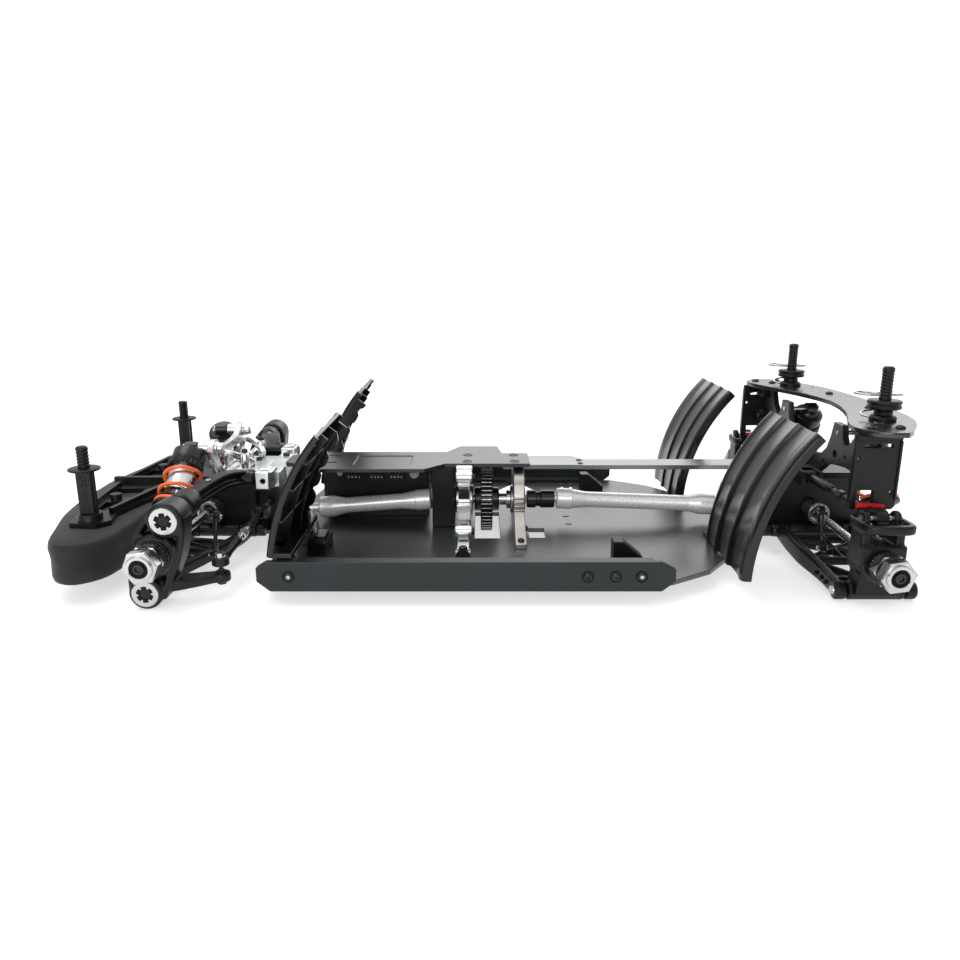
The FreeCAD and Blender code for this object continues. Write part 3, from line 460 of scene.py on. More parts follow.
def plate_mesh(name, outline, holes, thickness, place, edge):
    """Flat plate with holes and rounded edges, built from a filled 2D curve."""
    curve = bpy.data.curves.new(name, "CURVE")
    curve.dimensions = "2D"
    curve.fill_mode = "BOTH"
    curve.extrude = (thickness / 2 - edge) * MM
    curve.bevel_depth = edge * MM
    curve.bevel_resolution = 1
    curve.offset = -edge * MM
    for loop in [outline] + holes:
        spline = curve.splines.new("POLY")
        spline.points.add(len(loop) - 1)
        for point, (x, y) in zip(spline.points, loop):
            point.co = (x * MM, y * MM, 0, 1)
        spline.use_cyclic_u = True
    source = bpy.data.objects.new(name + "_curve", curve)
    mesh = bpy.data.meshes.new_from_object(source)
    bpy.data.objects.remove(source)
    mesh.transform(place)
    return mesh


def across_car(x):
    """Placement of a flat plate that stands across the car at X, in metres."""
    return Matrix(((0, 0, 1, x), (1, 0, 0, 0), (0, 1, 0, 0), (0, 0, 0, 1)))


def round_loop(cx, cy, r, n):
    """Circle as a list of 2D points."""
    angles = [2 * math.pi * k / n for k in range(n)]
    return [(cx + r * math.cos(a), cy + r * math.sin(a)) for a in angles]


# --------------------------------------------------------------- screws

def button_screw(bm, at, out, r, high):
    """Domed head with a hexagon socket. out points away from the seat."""
    tip = Vector(at) + Vector(out)
    socket = r * 0.52
    lathe(bm, at, tip, [(0, r * 0.97), (high * 0.3, r), (high * 0.75, r * 0.86), (high, r * 0.62),
        (high, socket, HEX), (high * 0.25, socket * 0.95, HEX), (high * 0.1, 0)], 24)


def cap_screw(bm, at, out, r, high):
    """Cylindrical head with knurled side and a hexagon socket."""
    tip = Vector(at) + Vector(out)
    socket = r * 0.56
    lathe(bm, at, tip, [(0, r * 0.96), (high * 0.08, r, ("teeth", r * 0.06)),
        (high * 0.8, r, ("teeth", r * 0.06)), (high, r * 0.86), (high, socket, HEX),
        (high * 0.3, socket * 0.95, HEX), (high * 0.15, 0)], 48)


def sink_screw(bm, at, out, r):
    """Countersunk head in its own dished ring."""
    tip = Vector(at) + Vector(out)
    lathe(bm, at, tip, [(-0.6, r * 1.15), (0.35, r * 1.12), (0.35, r * 0.98), (0.05, r * 0.92),
        (0.15, r * 0.86), (0.15, r * 0.5, HEX), (-0.5, r * 0.46, HEX), (-0.55, 0)], 24)


def chassis_screws():
    """Screw heads and hinge pins of the whole chassis."""
    guard = bmesh.new()
    rims = bmesh.new()
    bright = bmesh.new()
    for s in (1, -1):
        for x in (-112, 54.5, 70, 84.5):
            axis = on_axis(s, (x, 17.5))
            button_screw(guard, axis(120), (0, s, 0), 2.5, 1.5)
            lathe(rims, axis(119.6), axis(121), [(0, 3.5), (0.6, 3.5), (0.6, 2.9), (0.2, 2.8)], 32)
            if x in (-112, 84.5):
                lathe(bright, axis(120.2), axis(122), [(0, 1.2, HEX), (0.9, 1.2, HEX), (0.9, 0.7),
                    (0.3, 0.6), (0.3, 0)], 24)
    finish_mesh("guard_screws", guard, "dark_steel")
    # The seat rings round the guard screws carry painted shade: near-black for the shadow in the seats.
    finish_mesh("guard_screw_seats", rims, "painted_recess_shade")
    finish_mesh("guard_screw_bits", bright, "steel")
    deck = bmesh.new()
    for x in (-14, 18):
        for y in (-9, 10):
            sink_screw(deck, (x, y, DECK_TOP), UP, 2.9)
    for y in (-4.5, 4.5):
        sink_screw(deck, (63, y, 54.5), UP, 1.7)
    for s in (1, -1):
        for x in (213, 229):
            button_screw(deck, (x, s * 97.5, TOP_PLATE_TOP), UP, 2.7, 1.6)
        button_screw(deck, (243, s * 30, TOP_PLATE_TOP), UP, 2.6, 1.5)
        button_screw(deck, (222, s * 86, TOP_PLATE_TOP), UP, 2.6, 1.5)
    for x in (-205, -190, -166):
        for s in (1, -1):
            cap_screw(deck, (x, s * 15, 46), UP, 2.2, 2.2)
    finish_mesh("deck_screws", deck, "dark_steel")
    pins = bmesh.new()
    for s in (1, -1):
        for a, b, y, z in ((-211, -148.5, *FRONT_HINGE), (-170, -138.5, *TOP_HINGE),
                (180, 253, *REAR_HINGE)):
            bush(pins, (a, s * y, z), (b, s * y, z), 1.2, 1.5, 20, 0.4)
        for x0, x1, y, z in ((-197, -175.5, *FRONT_SHOCK_PIN), (217.5, 242.5, *REAR_SHOCK_PIN)):
            lathe(pins, (x0, s * y, z), (x1, s * y, z), [(0, 1.5), (x1 - x0, 1.5)], 20)
        spot = sided(s)
        button_screw(pins, spot(-196, *FRONT_SHOCK_PIN), FORWARDS, 2.9, 1.6)
        button_screw(pins, spot(-176, *FRONT_SHOCK_PIN), REARWARDS, 2.6, 1.4)
        button_screw(pins, spot(241.2, *REAR_SHOCK_PIN), REARWARDS, 2.9, 1.6)
    finish_mesh("hinge_pins", pins, "steel", replaced=("fasteners",))


# ------------------------------------------------------- foam and posts

def foam_bumper():
    """Foam block with eased edges and a slightly uneven face."""
    half = [(-270.2, 0), (-270, 14), (-268.2, 36), (-263.2, 64), (-255.4, 91), (-248.4, 110),
        (-239.8, 119.6), (-228.6, 120.6), (-219, 111.5), (-215, 94), (-214.4, 62), (-214.4, 20),
        (-214.4, 0)]
    right = [Vector((x, y, 0)) for x, y in half]
    left = [Vector((x, -y, 0)) for x, y in reversed(half) if y > 0]
    outline = closed_curve(right + left, 8)
    centre = Vector((-242, 0, 0))
    bm = bmesh.new()
    levels = [(12.1, -1.6), (12.8, -0.5), (14.2, 0.1), (17, 0.45), (21, 0.2), (24, 0), (27, 0.2), (31, 0.4),
        (33.6, 0.1), (35.1, -0.6), (35.9, -1.8)]
    loops = []
    for z, grow in levels:
        loop = []
        for k, p in enumerate(outline):
            ahead = outline[(k + 1) % len(outline)]
            behind = outline[k - 1]
            side = (ahead - behind).normalized().cross(Vector((0, 0, 1)))
            if side.dot(p - centre) < 0:
                side = -side
            wave = 0.22 * math.sin(k * 0.19 + z * 0.35) + 0.14 * math.sin(k * 0.47 - z * 0.6)
            q = p + side * (grow + wave)
            sag = 0.35 * math.sin(k * 0.11) if z < 20 else 0
            loop.append(bm.verts.new(Vector((q.x, q.y, max(12.05, z + sag))) * MM))
        loops.append(loop)
    skin_over(bm, loops)
    piece = finish_mesh("foam_bumper", bm, "foam", replaced=("front_bumper",), angle=50)


def grooved_stem(bm, x, y, z0, z1, r):
    """Post top: bevelled tip over a stem with fine grooves."""
    rings = [(0, r)]
    z = 2
    top = z1 - z0
    while z < top - 3:
        rings += [(z, r), (z + 0.25, r - 0.35), (z + 0.75, r - 0.35), (z + 1, r)]
        z += 1.9
    rings += [(top - 1, r), (top - 0.2, r - 0.7), (top, r - 1.2)]
    lathe(bm, (x, y, z0), (x, y, z1), rings, 28)


def body_posts():
    """Posts for the body shell, with discs and wire clips."""
    bm = bmesh.new()
    for s in (1, -1):
        x, y = FRONT_POST[0], s * FRONT_POST[1]
        side = [(-4.2, -3.2), (4.2, -3.2), (4.2, -1.6), (2.9, -1), (2.9, 1), (4.2, 1.6), (4.2, 3.2),
            (-4.2, 3.2), (-4.2, 1.6), (-2.9, 1), (-2.9, -1), (-4.2, -1.6)]
        slab(bm, [(x + a, y + b, 43) for a, b in side], 26.2)
        for k in range(5):
            z = 47 + 4.4 * k
            for face in (1, -1):
                lathe(bm, (x, y + face * 3.1, z), (x, y + face * 4, z),
                    [(0, 1.7), (0.35, 1.7), (0.35, 1.1), (-0.6, 1), (-0.6, 0)], 18)
        lathe(bm, (x, y, 69), (x, y, 71), [(0, 4.4), (0.1, 8.6), (0.4, 9), (1.2, 9), (1.5, 8.5),
            (1.5, 3.4)], 40)
        grooved_stem(bm, x, y, 70.4, 83.5, 3.4)
        x, y = REAR_POST[0], s * REAR_POST[1]
        lathe(bm, (x, y, 97), (x, y, 128.5), [(0, 7.5), (1.8, 7.5), (3, 6.6), (3.4, 5.2), (5.4, 5.2),
            (5.8, 4.6), (6.6, 4.6), (7, 5.6)], 36)
        lathe(bm, (x, y, 104), (x, y, 112), [(0, 8.9), (0.5, 9.5), (1.7, 9.5), (2, 9), (2.9, 9), (3.2, 9.5),
            (4.5, 9.5), (5, 8.8), (5, 3.4)], 40)
        grooved_stem(bm, x, y, 109, 128.5, 3.4)
    finish_mesh("posts", bm, "moulded", edge=0.2, replaced=("body_posts",))
    wires = bmesh.new()
    for s in (1, -1):
        x, y = REAR_POST[0], s * REAR_POST[1]
        tube(wires, [(x + 10, y, 112), (x + 4, y, 112), (x, y, 112), (x - 6, y, 112),
            (x - 11, y + 1, 112.1), (x - 15, y + 4, 112.3), (x - 14.6, y + 8, 112.4),
            (x - 9, y + 9.4, 112.3), (x - 3, y + 5.6, 112.2), (x + 2, y + 4.6, 112.2),
            (x + 7, y + 7, 112.3)], 0.75)
        tube(wires, [(x - 9, y - 2, 99.2), (x - 12, y + 2, 100), (x - 9, y + 6.4, 101.2),
            (x - 2, y + 7, 102.2), (x + 5, y + 6.6, 102)], 0.6)
    finish_mesh("post_clips", wires, "steel", replaced=("body_clips",))


# ---------------------------------------------------------- mud guards

def arc_sweep(bm, cx, cz, a0, a1, section, steps=40):
    """Section of (y, radius) points turned about an axis parallel to Y."""
    loops = []
    for k in range(steps + 1):
        a = math.radians(a0 + (a1 - a0) * k / steps)
        loop = []
        for y, r in section:
            loop.append(bm.verts.new(Vector((cx + r * math.cos(a), y, cz + r * math.sin(a))) * MM))
        loops.append(loop)
    skin_over(bm, loops)


def guard_section(s, outer, inner):
    """Closed cross-section from an outer and an inner line of (y, radius)."""
    line = outer + list(reversed(inner))
    return [(s * y, r) for y, r in line]


def mud_guards():
    """Four curved shells with beads along them, and the feet of each."""
    bm = bmesh.new()
    outer = [(41, 123.4), (41, 127.2), (42.2, 128.8), (44.6, 129.2), (46.2, 128.3), (48, 128), (58, 128.3),
        (60.8, 128.6), (62, 129.8), (64, 130), (66, 129.6), (67.4, 128.2), (70, 127.9), (82, 128.2),
        (85, 128.6), (86.2, 129.8), (88.4, 130), (90.6, 129.6), (92, 128.2), (94, 127.9), (104, 128.1),
        (108, 128.5), (112.6, 129.6), (115.6, 129.2), (117, 127.8), (117, 123.6)]
    inner = [(43, 123.4), (43, 125.8), (60, 126), (64, 127.4), (68, 126), (84, 126), (88.4, 127.4),
        (93, 126), (112, 126.2), (115.2, 125.8), (115.2, 123.6)]
    for s in (1, -1):
        arc_sweep(bm, *FENDER_REAR, 137, 178.3, guard_section(s, outer, inner))
        block(bm, (142.8, 157), (s * 30, s * 44), PLATE_TOP, 2.8)
        lathe(bm, (152, s * 35, 14.8), (152, s * 35, 17), [(0, 3.6), (1.2, 3.4), (1.2, 1.8), (0.2, 1.6),
            (0.2, 0)], 24)
    front_outer = [(42, 130), (42, 133), (43.2, 134.4), (46, 134.6), (48, 133.8), (60, 133.8), (64, 134.4),
        (68, 133.8), (88, 133.8), (92, 134.4), (96, 133.8), (111, 133.8), (113, 134.4), (115.8, 134.2),
        (117, 133.2), (117, 130.8)]
    front_inner = [(44, 130), (44, 131.9), (115.2, 131.9), (115.2, 130.8)]
    for s in (1, -1):
        arc_sweep(bm, *FENDER_FRONT, 140.2, 172.8, guard_section(s, front_outer, front_inner))
        for y0, y1, depth in ((42.2, 44.4, 8.6), (114.8, 116.8, 1.6), (66.2, 67.6, 6), (90.2, 91.6, 4.6)):
            toothed_rib(bm, s, y0, y1, depth)
        for y0, y1 in ((45.2, 51.8), (96.2, 102.8)):
            slab(bm, [(-122.8, s * y0, PLATE_TOP), (-110.2, s * y0, PLATE_TOP), (-110.2, s * y0, 15),
                (-118, s * y0, 29.8), (-122.8, s * y0, 29.8)], s * (y1 - y0), (0, 1, 0))
        block(bm, (-122.6, -110.4), (s * 42.4, s * 116.6), 27, 2.8)
        for a in (147, 154.5, 163):
            arc_sweep(bm, *FENDER_FRONT, a, a + 0.55, [(s * 43.4, 132.2), (s * 116, 132.2),
                (s * 116, 128.2), (s * 43.4, 126.6)], 1)
        slab(bm, [(-112, s * 47, 12.2), (-100.3, s * 47, 12.2), (-100.3, s * 47, 19),
            (-101.6, s * 47, 20.4), (-112, s * 47, 20.4)], s * 24, (0, 1, 0))
        wall(bm, (-109, -101.5), s * 51, (20, 22.6), s * 15)
    finish_mesh("mud_guard_shells", bm, "fender", edge=0.25, replaced=("mud_guards",))


def guard_stays():
    """Cast feet behind the front mud guards."""
    bm = bmesh.new()
    for s in (1, -1):
        bar(bm, [(-113, s * 44, 12.6), (-112.6, s * 44, 22), (-114.6, s * 44.4, 33.4)], 6.4, 5.2, 1.8,
            up=(0, 1, 0), scale=((1.25, 1.2), (1, 1), (0.8, 0.9)))
        lathe(bm, (-113, s * 44, PLATE_TOP), (-113, s * 44, 15), [(0, 5.2), (1.2, 5.2), (1.8, 4.6)], 32)
    finish_mesh("guard_stays", bm, "casting", edge=0.2)


def receiver_details():
    """Plain sockets and contacts on the near face of the receiver box."""
    dark = bmesh.new()
    bright = bmesh.new()
    face = 11.9
    for x in (-100, -84, -70):
        wall(dark, (x, x + 11), face, (38.5, 43.6), -1.6)
        for k in range(4):
            wall(bright, (x + 1.4 + 2.4 * k, x + 2.6 + 2.4 * k), face - 1.5, (40.2, 41.8), -0.5)
    wall(bright, (-86, -73), face, (45.4, 46.4), -0.5)
    lathe(bright, (-104, face, 44), (-104, face - 3, 44), [(0, 2.6), (2, 2.6), (2.6, 2), (2.6, 0)], 32)
    lathe(bright, (-52, face, 43), (-52, face - 2, 43), [(0, 3.4), (1, 3.4), (1, 2.6), (0.3, 2.6)], 32)
    finish_mesh("receiver_sockets", dark, "gear", edge=0.15)
    finish_mesh("receiver_contacts", bright, "steel", edge=0.1)


def toothed_rib(bm, s, y0, y1, depth):
    """Lengthwise rib behind a front guard whose free edge is scalloped."""
    cx, cz = FENDER_FRONT
    inner = []
    outer = []
    steps = 60
    for k in range(steps + 1):
        a = 142 + 30.2 * k / steps
        wave = abs(math.sin(math.radians((a - 142) * 30)))
        r = 131.9 - depth + (0.34 * depth * wave ** 6 if depth > 8 else 0)
        inner.append((a, r))
        outer.append((a, 132.2))
    line = outer + list(reversed(inner))
    pts = []
    for a, r in line:
        pts.append((cx + r * math.cos(math.radians(a)), s * y0, cz + r * math.sin(math.radians(a))))
    low = [bm.verts.new(Vector(p) * MM) for p in pts]
    high = [bm.verts.new(Vector((p[0], s * y1, p[2])) * MM) for p in pts]
    join_rings(bm, low, high)
    half = len(inner)
    for side in (low, high):
        rim, base = side[:half], list(reversed(side[half:]))
        for k in range(half - 1):
            bm.faces.new((rim[k], rim[k + 1], base[k + 1], base[k]))


# -------------------------------------------------------------- shocks

SHOCKS = {
    "front": ((-191.5, *FRONT_SHOCK_PIN), (-198, *FRONT_SHOCK_EYE)),
    "rear": ((237, *REAR_SHOCK_PIN), (237, *REAR_SHOCK_EYE)),
}


def shocks():
    """Shock bodies, rods, spring seats and springs."""
    for end, (top, low) in SHOCKS.items():
        for side, s in SIDES:
            spot = sided(s)
            a, b = spot(*top), spot(*low)
            span = (b - a).length
            body = f"{end}_damper_{side}"
            rod_body = f"{end}_piston_{side}"
            cap = bmesh.new()
            bush(cap, *lengthwise(a, 4), 3.6, 4.2, 32)
            lathe(cap, a, b, [(1.6, 4.6), (2.6, 5.6), (3.6, 6.2), (4, 9), (4.5, 9.9), (5, 10.1),
                (11.2, 10.1), (11.6, 9.7), (12, 9.7), (12.4, 9.4)], 64)
            finish_mesh(f"{end}_shock_cap_{side}", cap, "gear", body)
            collar = bmesh.new()
            lathe(collar, a, b, [(12.6, 10.2), (13, 11, ("teeth", 0.55)), (16.4, 11, ("teeth", 0.55)),
                (16.9, 10.2), (16.9, 8)], 96)
            finish_mesh(f"{end}_shock_collar_{side}", collar, "moulded", body, angle=25)
            barrel = bmesh.new()
            rings = [(12, 7.4), (16, 7.4)]
            t = 16.2
            while t < 31.5:
                rings += [(t, 7.85), (t + 0.4, 7.62)]
                t += 0.8
            rings += [(32, 7.9), (33.5, 7.9), (34, 7.2), (34, 2.4)]
            lathe(barrel, a, b, rings, 48)
            finish_mesh(f"{end}_shock_barrel_{side}", barrel, "silver", body,
                replaced=(f"{end}_shock_body_{side}",), angle=60)
            shaft = bmesh.new()
            lathe(shaft, a, b, [(26, 2), (span - 10, 2)], 24)
            finish_mesh(f"{end}_shock_rod_{side}", shaft, "steel", rod_body)
            seat = bmesh.new()
            lathe(seat, a, b, [(44, 2.4), (44, 11), (44.5, 11.6), (46, 11.6), (46.5, 10.9), (46.8, 5),
                (48, 3.2), (span - 4.5, 3.2), (span - 2.5, 2.6)], 48)
            bush(seat, *lengthwise(b, 4.2), 3.3, 4, 32)
            finish_mesh(f"{end}_shock_seat_{side}", seat, "moulded", rod_body,
                replaced=(f"{end}_shock_shaft_{side}",))
            coil_spring(end, side, a, b, body)


def coil_spring(end, side, a, b, body):
    """Coated coil with flattened end turns, carried by the shock body."""
    u, v, w = frame_along(a, b)
    turns = 3
    count = int(turns * 28)
    first, last = 18.2, 42.8
    path = []
    for k in range(count + 1):
        f = k / count
        lead = min(1, max(0, (f * turns - 0.45) / (turns - 0.9)))
        t = first + (last - first) * lead
        angle = 2 * math.pi * turns * f
        path.append(a + w * t + (u * math.cos(angle) + v * math.sin(angle)) * COIL_R)
    bm = bmesh.new()
    sweep(bm, path, round_loop(0, 0, WIRE_R, 12), up=tuple(w))
    spring = finish_mesh(f"{end}_coil_{side}", bm, "orange", body, replaced=(f"{end}_spring_{side}",))
    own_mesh(spring)


# ------------------------------------------------------- hubs and nuts

def wheel_hubs():
    """Stub axles with their hexagons, nuts and recessed ends."""
    for end, at, mouth in (("front", FRONT_AXLE, 108.5), ("rear", REAR_AXLE, 106.5)):
        for side, s in SIDES:
            axle = on_axis(s, at)
            p, q = axle(mouth), axle(mouth + 1)
            body = f"{end}_wheel_hub_{side}"
            bm = bmesh.new()
            lathe(bm, p, q, [(9, 7.2), (9, 2.6), (0.2, 7), (0, 7.4), (0, 8.2), (0.4, 8.5), (9.6, 8.5),
                (10, 8), (10.2, 4), (17.2, 4), (17.2, 8), (21, 8)], 64)
            for start, deep, r, turn in ((19.8, 6.6, 9.7, 0), (28, 6.8, 9.8, 8)):
                hexagon(bm, p + Vector((0, s * start, 0)), s, deep, r, turn)
            lathe(bm, p, q, [(26, 8.2), (28.4, 8.2)], 64)
            lathe(bm, p, q, [(34.4, 7.3), (35.9, 7.2), (36.4, 6.7), (36.4, 5.4), (36, 5), (34.6, 4.8),
                (34.6, 0)], 64)
            finish_mesh(f"{end}_wheel_nut_{side}", bm, "steel", body, replaced=(f"{end}_hub_{side}",),
                angle=28)
            # pit is a near-black disc inside the nut's bore: painted shade where the bore lies in shadow.
            pit = bmesh.new()
            dark = bmesh.new()
            lathe(pit, p, q, [(34.7, 4.95), (35, 4.95), (35, 0)], 48)
            lathe(dark, p, q, [(34.9, 3.1), (35.9, 3), (36.2, 2.7), (36.2, 1.7), (35.3, 1.6), (35.3, 0)],
                48)
            lathe(dark, p, q, [(17.4, 8.4), (17.6, 9, ("teeth", 0.5)), (19.4, 9, ("teeth", 0.5)),
                (19.7, 8.4)], 96)
            lathe(dark, p, q, [(26.5, 8.9), (26.8, 9.1), (27.7, 9.1), (28, 8.9)], 64)
            finish_mesh(f"{end}_hub_pit_{side}", pit, "painted_recess_shade", body, slot="steel")
            finish_mesh(f"{end}_hub_darks_{side}", dark, "gear", body, slot="steel", angle=28)


def hexagon(bm, at, s, deep, r, turn):
    """Chamfered hexagon nut blank, turned by an angle about its axis."""
    cap = r * 0.93
    loops = []
    for t, reach in ((0, cap), (0.7, r), (deep - 0.7, r), (deep, cap)):
        loop = []
        for k in range(6):
            a = math.radians(60 * k + turn)
            point = Vector(at) + Vector((reach * math.cos(a), s * t, reach * math.sin(a)))
            loop.append(bm.verts.new(point * MM))
        loops.append(loop)
    skin_over(bm, loops)


def ring_nut_pair(side, s, spot):
    """Threaded ring nuts with notched sockets that close the ball housings."""
    rings = bmesh.new()
    dark = bmesh.new()
    for at, r in ((TOP_BALL, 7.6), (LOW_BALL, 7.4)):
        axis = on_axis(s, at)
        p, q = axis(124.6), axis(127)
        lathe(rings, p, q, [(0, r), (1.6, r), (1.9, r - 0.35), (1.9, r * 0.44), (1.5, r * 0.42),
            (0.2, r * 0.42)], 48)
        lathe(dark, p, q, [(1, r * 0.64, ("slots", (8, 1.35))), (2.02, r * 0.64, ("slots", (8, 1.35))),
            (1.9, r * 0.42), (0.9, r * 0.36), (0.7, 0)], 48)
    finish_mesh(f"ring_nuts_{side}", rings, "steel", f"front_knuckle_{side}")
    # The notched sockets of the ring nuts carry painted shade: near-black for the shadow in the notches.
    finish_mesh(f"ring_nut_sockets_{side}", dark, "painted_recess_shade", f"front_knuckle_{side}", angle=20)


# ------------------------------------------------------ moulded corners

def moulded(name, bm, body, replaced, skin, passes):
    """Union of overlapping solids under one skin, with softened edges."""
    piece = finish_mesh(name, bm, "moulded", body, replaced=replaced)
    remesh = piece.modifiers.new("skin", "REMESH")
    remesh.mode = "VOXEL"
    remesh.voxel_size = skin * MM
    remesh.use_smooth_shade = True
    ease = piece.modifiers.new("ease", "SMOOTH")
    ease.factor = 0.5
    ease.iterations = passes


def bead(bm, at, r):
    """Ball."""
    n = 20
    angles = [math.pi * k / (n // 2) for k in range(n // 2 + 1)]
    rings = [(r - r * math.cos(a), r * math.sin(a)) for a in angles]
    rings[0] = (0, 0)
    rings[-1] = (2 * r, 0)
    start = Vector(at) - Vector((0, 0, r))
    lathe(bm, start, Vector(at) + Vector((0, 0, r)), rings, n)


def bar(bm, points, width, height, r=0.8, up=(0, 0, 1), scale=None, per_span=5):
    """Rounded rectangular bar along a smooth path."""
    path = smooth_path(points, per_span)
    steps = None
    if scale:
        steps = []
        spans = len(points) - 1
        for k in range(len(path)):
            f = min(spans - 1e-6, k / per_span)
            low = int(f)
            mix = f - low
            steps.append(tuple(scale[low][m] * (1 - mix) + scale[low + 1][m] * mix for m in (0, 1)))
    sweep(bm, path, rounded_section(width, height, r), up=up, scale=steps)


def i_beam(width, height, web, flange):
    """Section of an I beam with chamfered inner corners."""
    w, h, t = width / 2, height / 2, web / 2
    f = h - flange
    return [(-w, -h), (w, -h), (w, -f), (t, 1 - f), (t, f - 1), (w, f), (w, h), (-w, h), (-w, f),
        (-t, f - 1),
            (-t, 1 - f), (-w, -f)]


def front_upright(side, s, spot):
    """Upright with its two ball housings, bearing ring and steering arm."""
    axle = on_axis(s, FRONT_AXLE)
    top, low = on_axis(s, TOP_BALL), on_axis(s, LOW_BALL)
    bm = bmesh.new()
    lathe(bm, top(107), top(126), [(0, 8.2), (0.8, 9.3), (9, 9.9), (17.6, 10), (18.7, 9.4), (19, 8.6)], 44)
    lathe(bm, low(107), low(126), [(0, 7.8), (0.8, 8.8), (9, 9.2), (17.6, 9.3), (18.7, 8.8), (19, 8)], 44)
    lathe(bm, axle(107.5), axle(124.5), [(0, 11.4), (1.2, 12.6), (15.6, 12.6), (17, 11.8)], 48)
    web = [(-184.5, 50), (-168, 46), (-171.5, 30), (-178, 14), (-184, 5), (-197, 12), (-196, 26),
        (-192, 42)]
    slab(bm, [spot(x, 111, z) for x, z in web], s * 7.5, (0, 1, 0))
    bar(bm, [spot(-167.6, 116.5, 52), spot(-168.8, 116.5, 42), spot(-171.4, 116.5, 30),
        spot(-177, 116.5, 17), spot(-181.6, 116.5, 6)], 4.2, 15.5, 1.4, up=(0, 1, 0))
    bar(bm, [spot(-184.2, 116.5, 54), spot(-190.5, 116.5, 46), spot(-195.8, 116.5, 34),
        spot(-198.2, 116.5, 22), spot(-198.6, 116.5, 11)], 3.4, 13.5, 1.3, up=(0, 1, 0))
    bar(bm, [spot(-187, 114.5, 13), spot(-180, 115, 12.6), spot(-170, 112.5, 12.2), spot(-160, 108, 12.2),
        spot(*TIE_END, 12)], 13, 5.4, 1.6, scale=((1.2, 1.9), (1.2, 1.5), (0.95, 1.1), (0.72, 0.95),
        (0.62, 0.92)))
    lathe(bm, spot(*TIE_END, 9.2), spot(*TIE_END, 14.7), [(0, 4.4), (0.6, 5.1), (4.9, 5.1), (5.5, 4.6)], 32)
    moulded(f"front_upright_shell_{side}", bm, f"front_knuckle_{side}", (f"front_upright_{side}",), 0.7, 3)

    seal = bmesh.new()
    lathe(seal, axle(124), axle(126), [(0, 11), (0.9, 11), (1.2, 10.6), (1.2, 9.9), (0.5, 9.8), (0.5, 9.2),
        (1.6, 9.2), (1.9, 8.8), (1.9, 7)], 56)
    finish_mesh(f"front_bearing_seal_{side}", seal, "gear", f"front_knuckle_{side}")


def front_top_arm(side, s, spot):
    """Upper arm with a ball at its outer end."""
    top = on_axis(s, TOP_BALL)
    bm = bmesh.new()
    lathe(bm, spot(-176, 102.6, 51.6), spot(-174.4, 84.6, 53), [(0, 5.6), (0.8, 7.4), (2.2, 8.2), (12, 8.1),
        (15.4, 7.2), (17.4, 5), (18, 3)], 40)
    path = smooth_path([spot(-175.6, 92, 52.6), spot(-172.6, 82, 53.4), spot(-168.6, 72, 55.4),
        spot(-163.6, 60.5, 57.2), spot(-159.4, 50.5, 56.4), spot(-157.4, 41.5, 54.4)])
    sweep(bm, path, i_beam(8.6, 9, 2.6, 2.1))
    path = smooth_path([spot(-178.6, 92, 52.6), spot(-176.6, 84, 53.2), spot(-171, 72, 54.4),
        spot(-163.2, 56, 54.6), spot(-160, 44.5, 54.2)])
    sweep(bm, path, rounded_section(3.2, 5.6, 1.2))
    bush(bm, spot(-164.7, *TOP_HINGE), spot(-149.8, *TOP_HINGE), 3.8, 4.4, 32)
    bar(bm, [spot(-157.2, 46, 55), spot(-157.2, *TOP_HINGE)], 14.4, 6.6, 1.2)
    moulded(f"front_top_arm_{side}", bm, f"front_top_arm_{side}", (f"front_upper_arm_{side}",), 0.6, 2)
    stud = bmesh.new()
    lathe(stud, top(113), spot(-176, 101, 51.6), [(0, 0), (0.2, 2.2), (12, 2.2)], 20)
    bead(stud, top(113), 4.6)
    cap_screw(stud, spot(-168.6, 72, 60), UP, 1.5, 1)
    finish_mesh(f"front_top_ball_{side}", stud, "steel", f"front_top_arm_{side}")


def tie_rod(side, s, spot):
    """Steering rod: two ends, a turnbuckle and the stud it turns on."""
    p, q = spot(*TIE_IN), spot(*TIE_OUT)
    body = f"tie_{side}"
    ends = bmesh.new()
    bush(ends, spot(-150.3, 40, 30), spot(-145.7, 40, 30), 3.3, 4, 28)
    lathe(ends, p, q, [(2.6, 2.4), (4, 2.7), (9, 2.5), (19, 2.3), (20, 2.9), (21.5, 2.9), (22, 2.2)], 24)
    lathe(ends, p, q, [(39, 2.2), (39.5, 2.9), (42, 2.9), (42.4, 2.6), (54, 2.5), (57, 2.9), (61.2, 2.9),
        (62, 2.4)], 24)
    lathe(ends, spot(*TIE_END, 18.9), spot(*TIE_END, 24), [(0, 4.2), (0.5, 4.9), (4.4, 4.9), (5, 4.2)], 32)
    finish_mesh(f"tie_rod_ends_{side}", ends, "moulded", body, replaced=(f"tie_rod_{side}",))
    bright = bmesh.new()
    lathe(bright, p, q, [(21.5, 1.7), (24.4, 1.7), (24.6, 2.2), (27.4, 2.2), (27.6, 3, HEX), (33.2, 3, HEX),
        (33.4, 2.2), (36.4, 2.2), (36.6, 1.7), (40, 1.7)], 30)
    lathe(bright, spot(*TIE_END, 23.6), spot(*TIE_END, 27), [(0, 3), (0.6, 3), (0.8, 2.6), (2.8, 2.5),
        (2.8, 1.3, HEX), (1.4, 1.2, HEX), (1.4, 0)], 24)
    finish_mesh(f"tie_rod_buckle_{side}", bright, "steel", body)
    stud = bmesh.new()
    lathe(stud, spot(*TIE_END, 7.6), spot(*TIE_END, 18), [(0, 0), (0, 2.6, HEX), (1.6, 2.6, HEX),
        (1.6, 1.5), (7, 1.5), (7, 3), (7.8, 3), (7.8, 1.5), (9.3, 1.5)], 24)
    finish_mesh(f"tie_stud_{side}", stud, "dark_steel", f"front_knuckle_{side}")


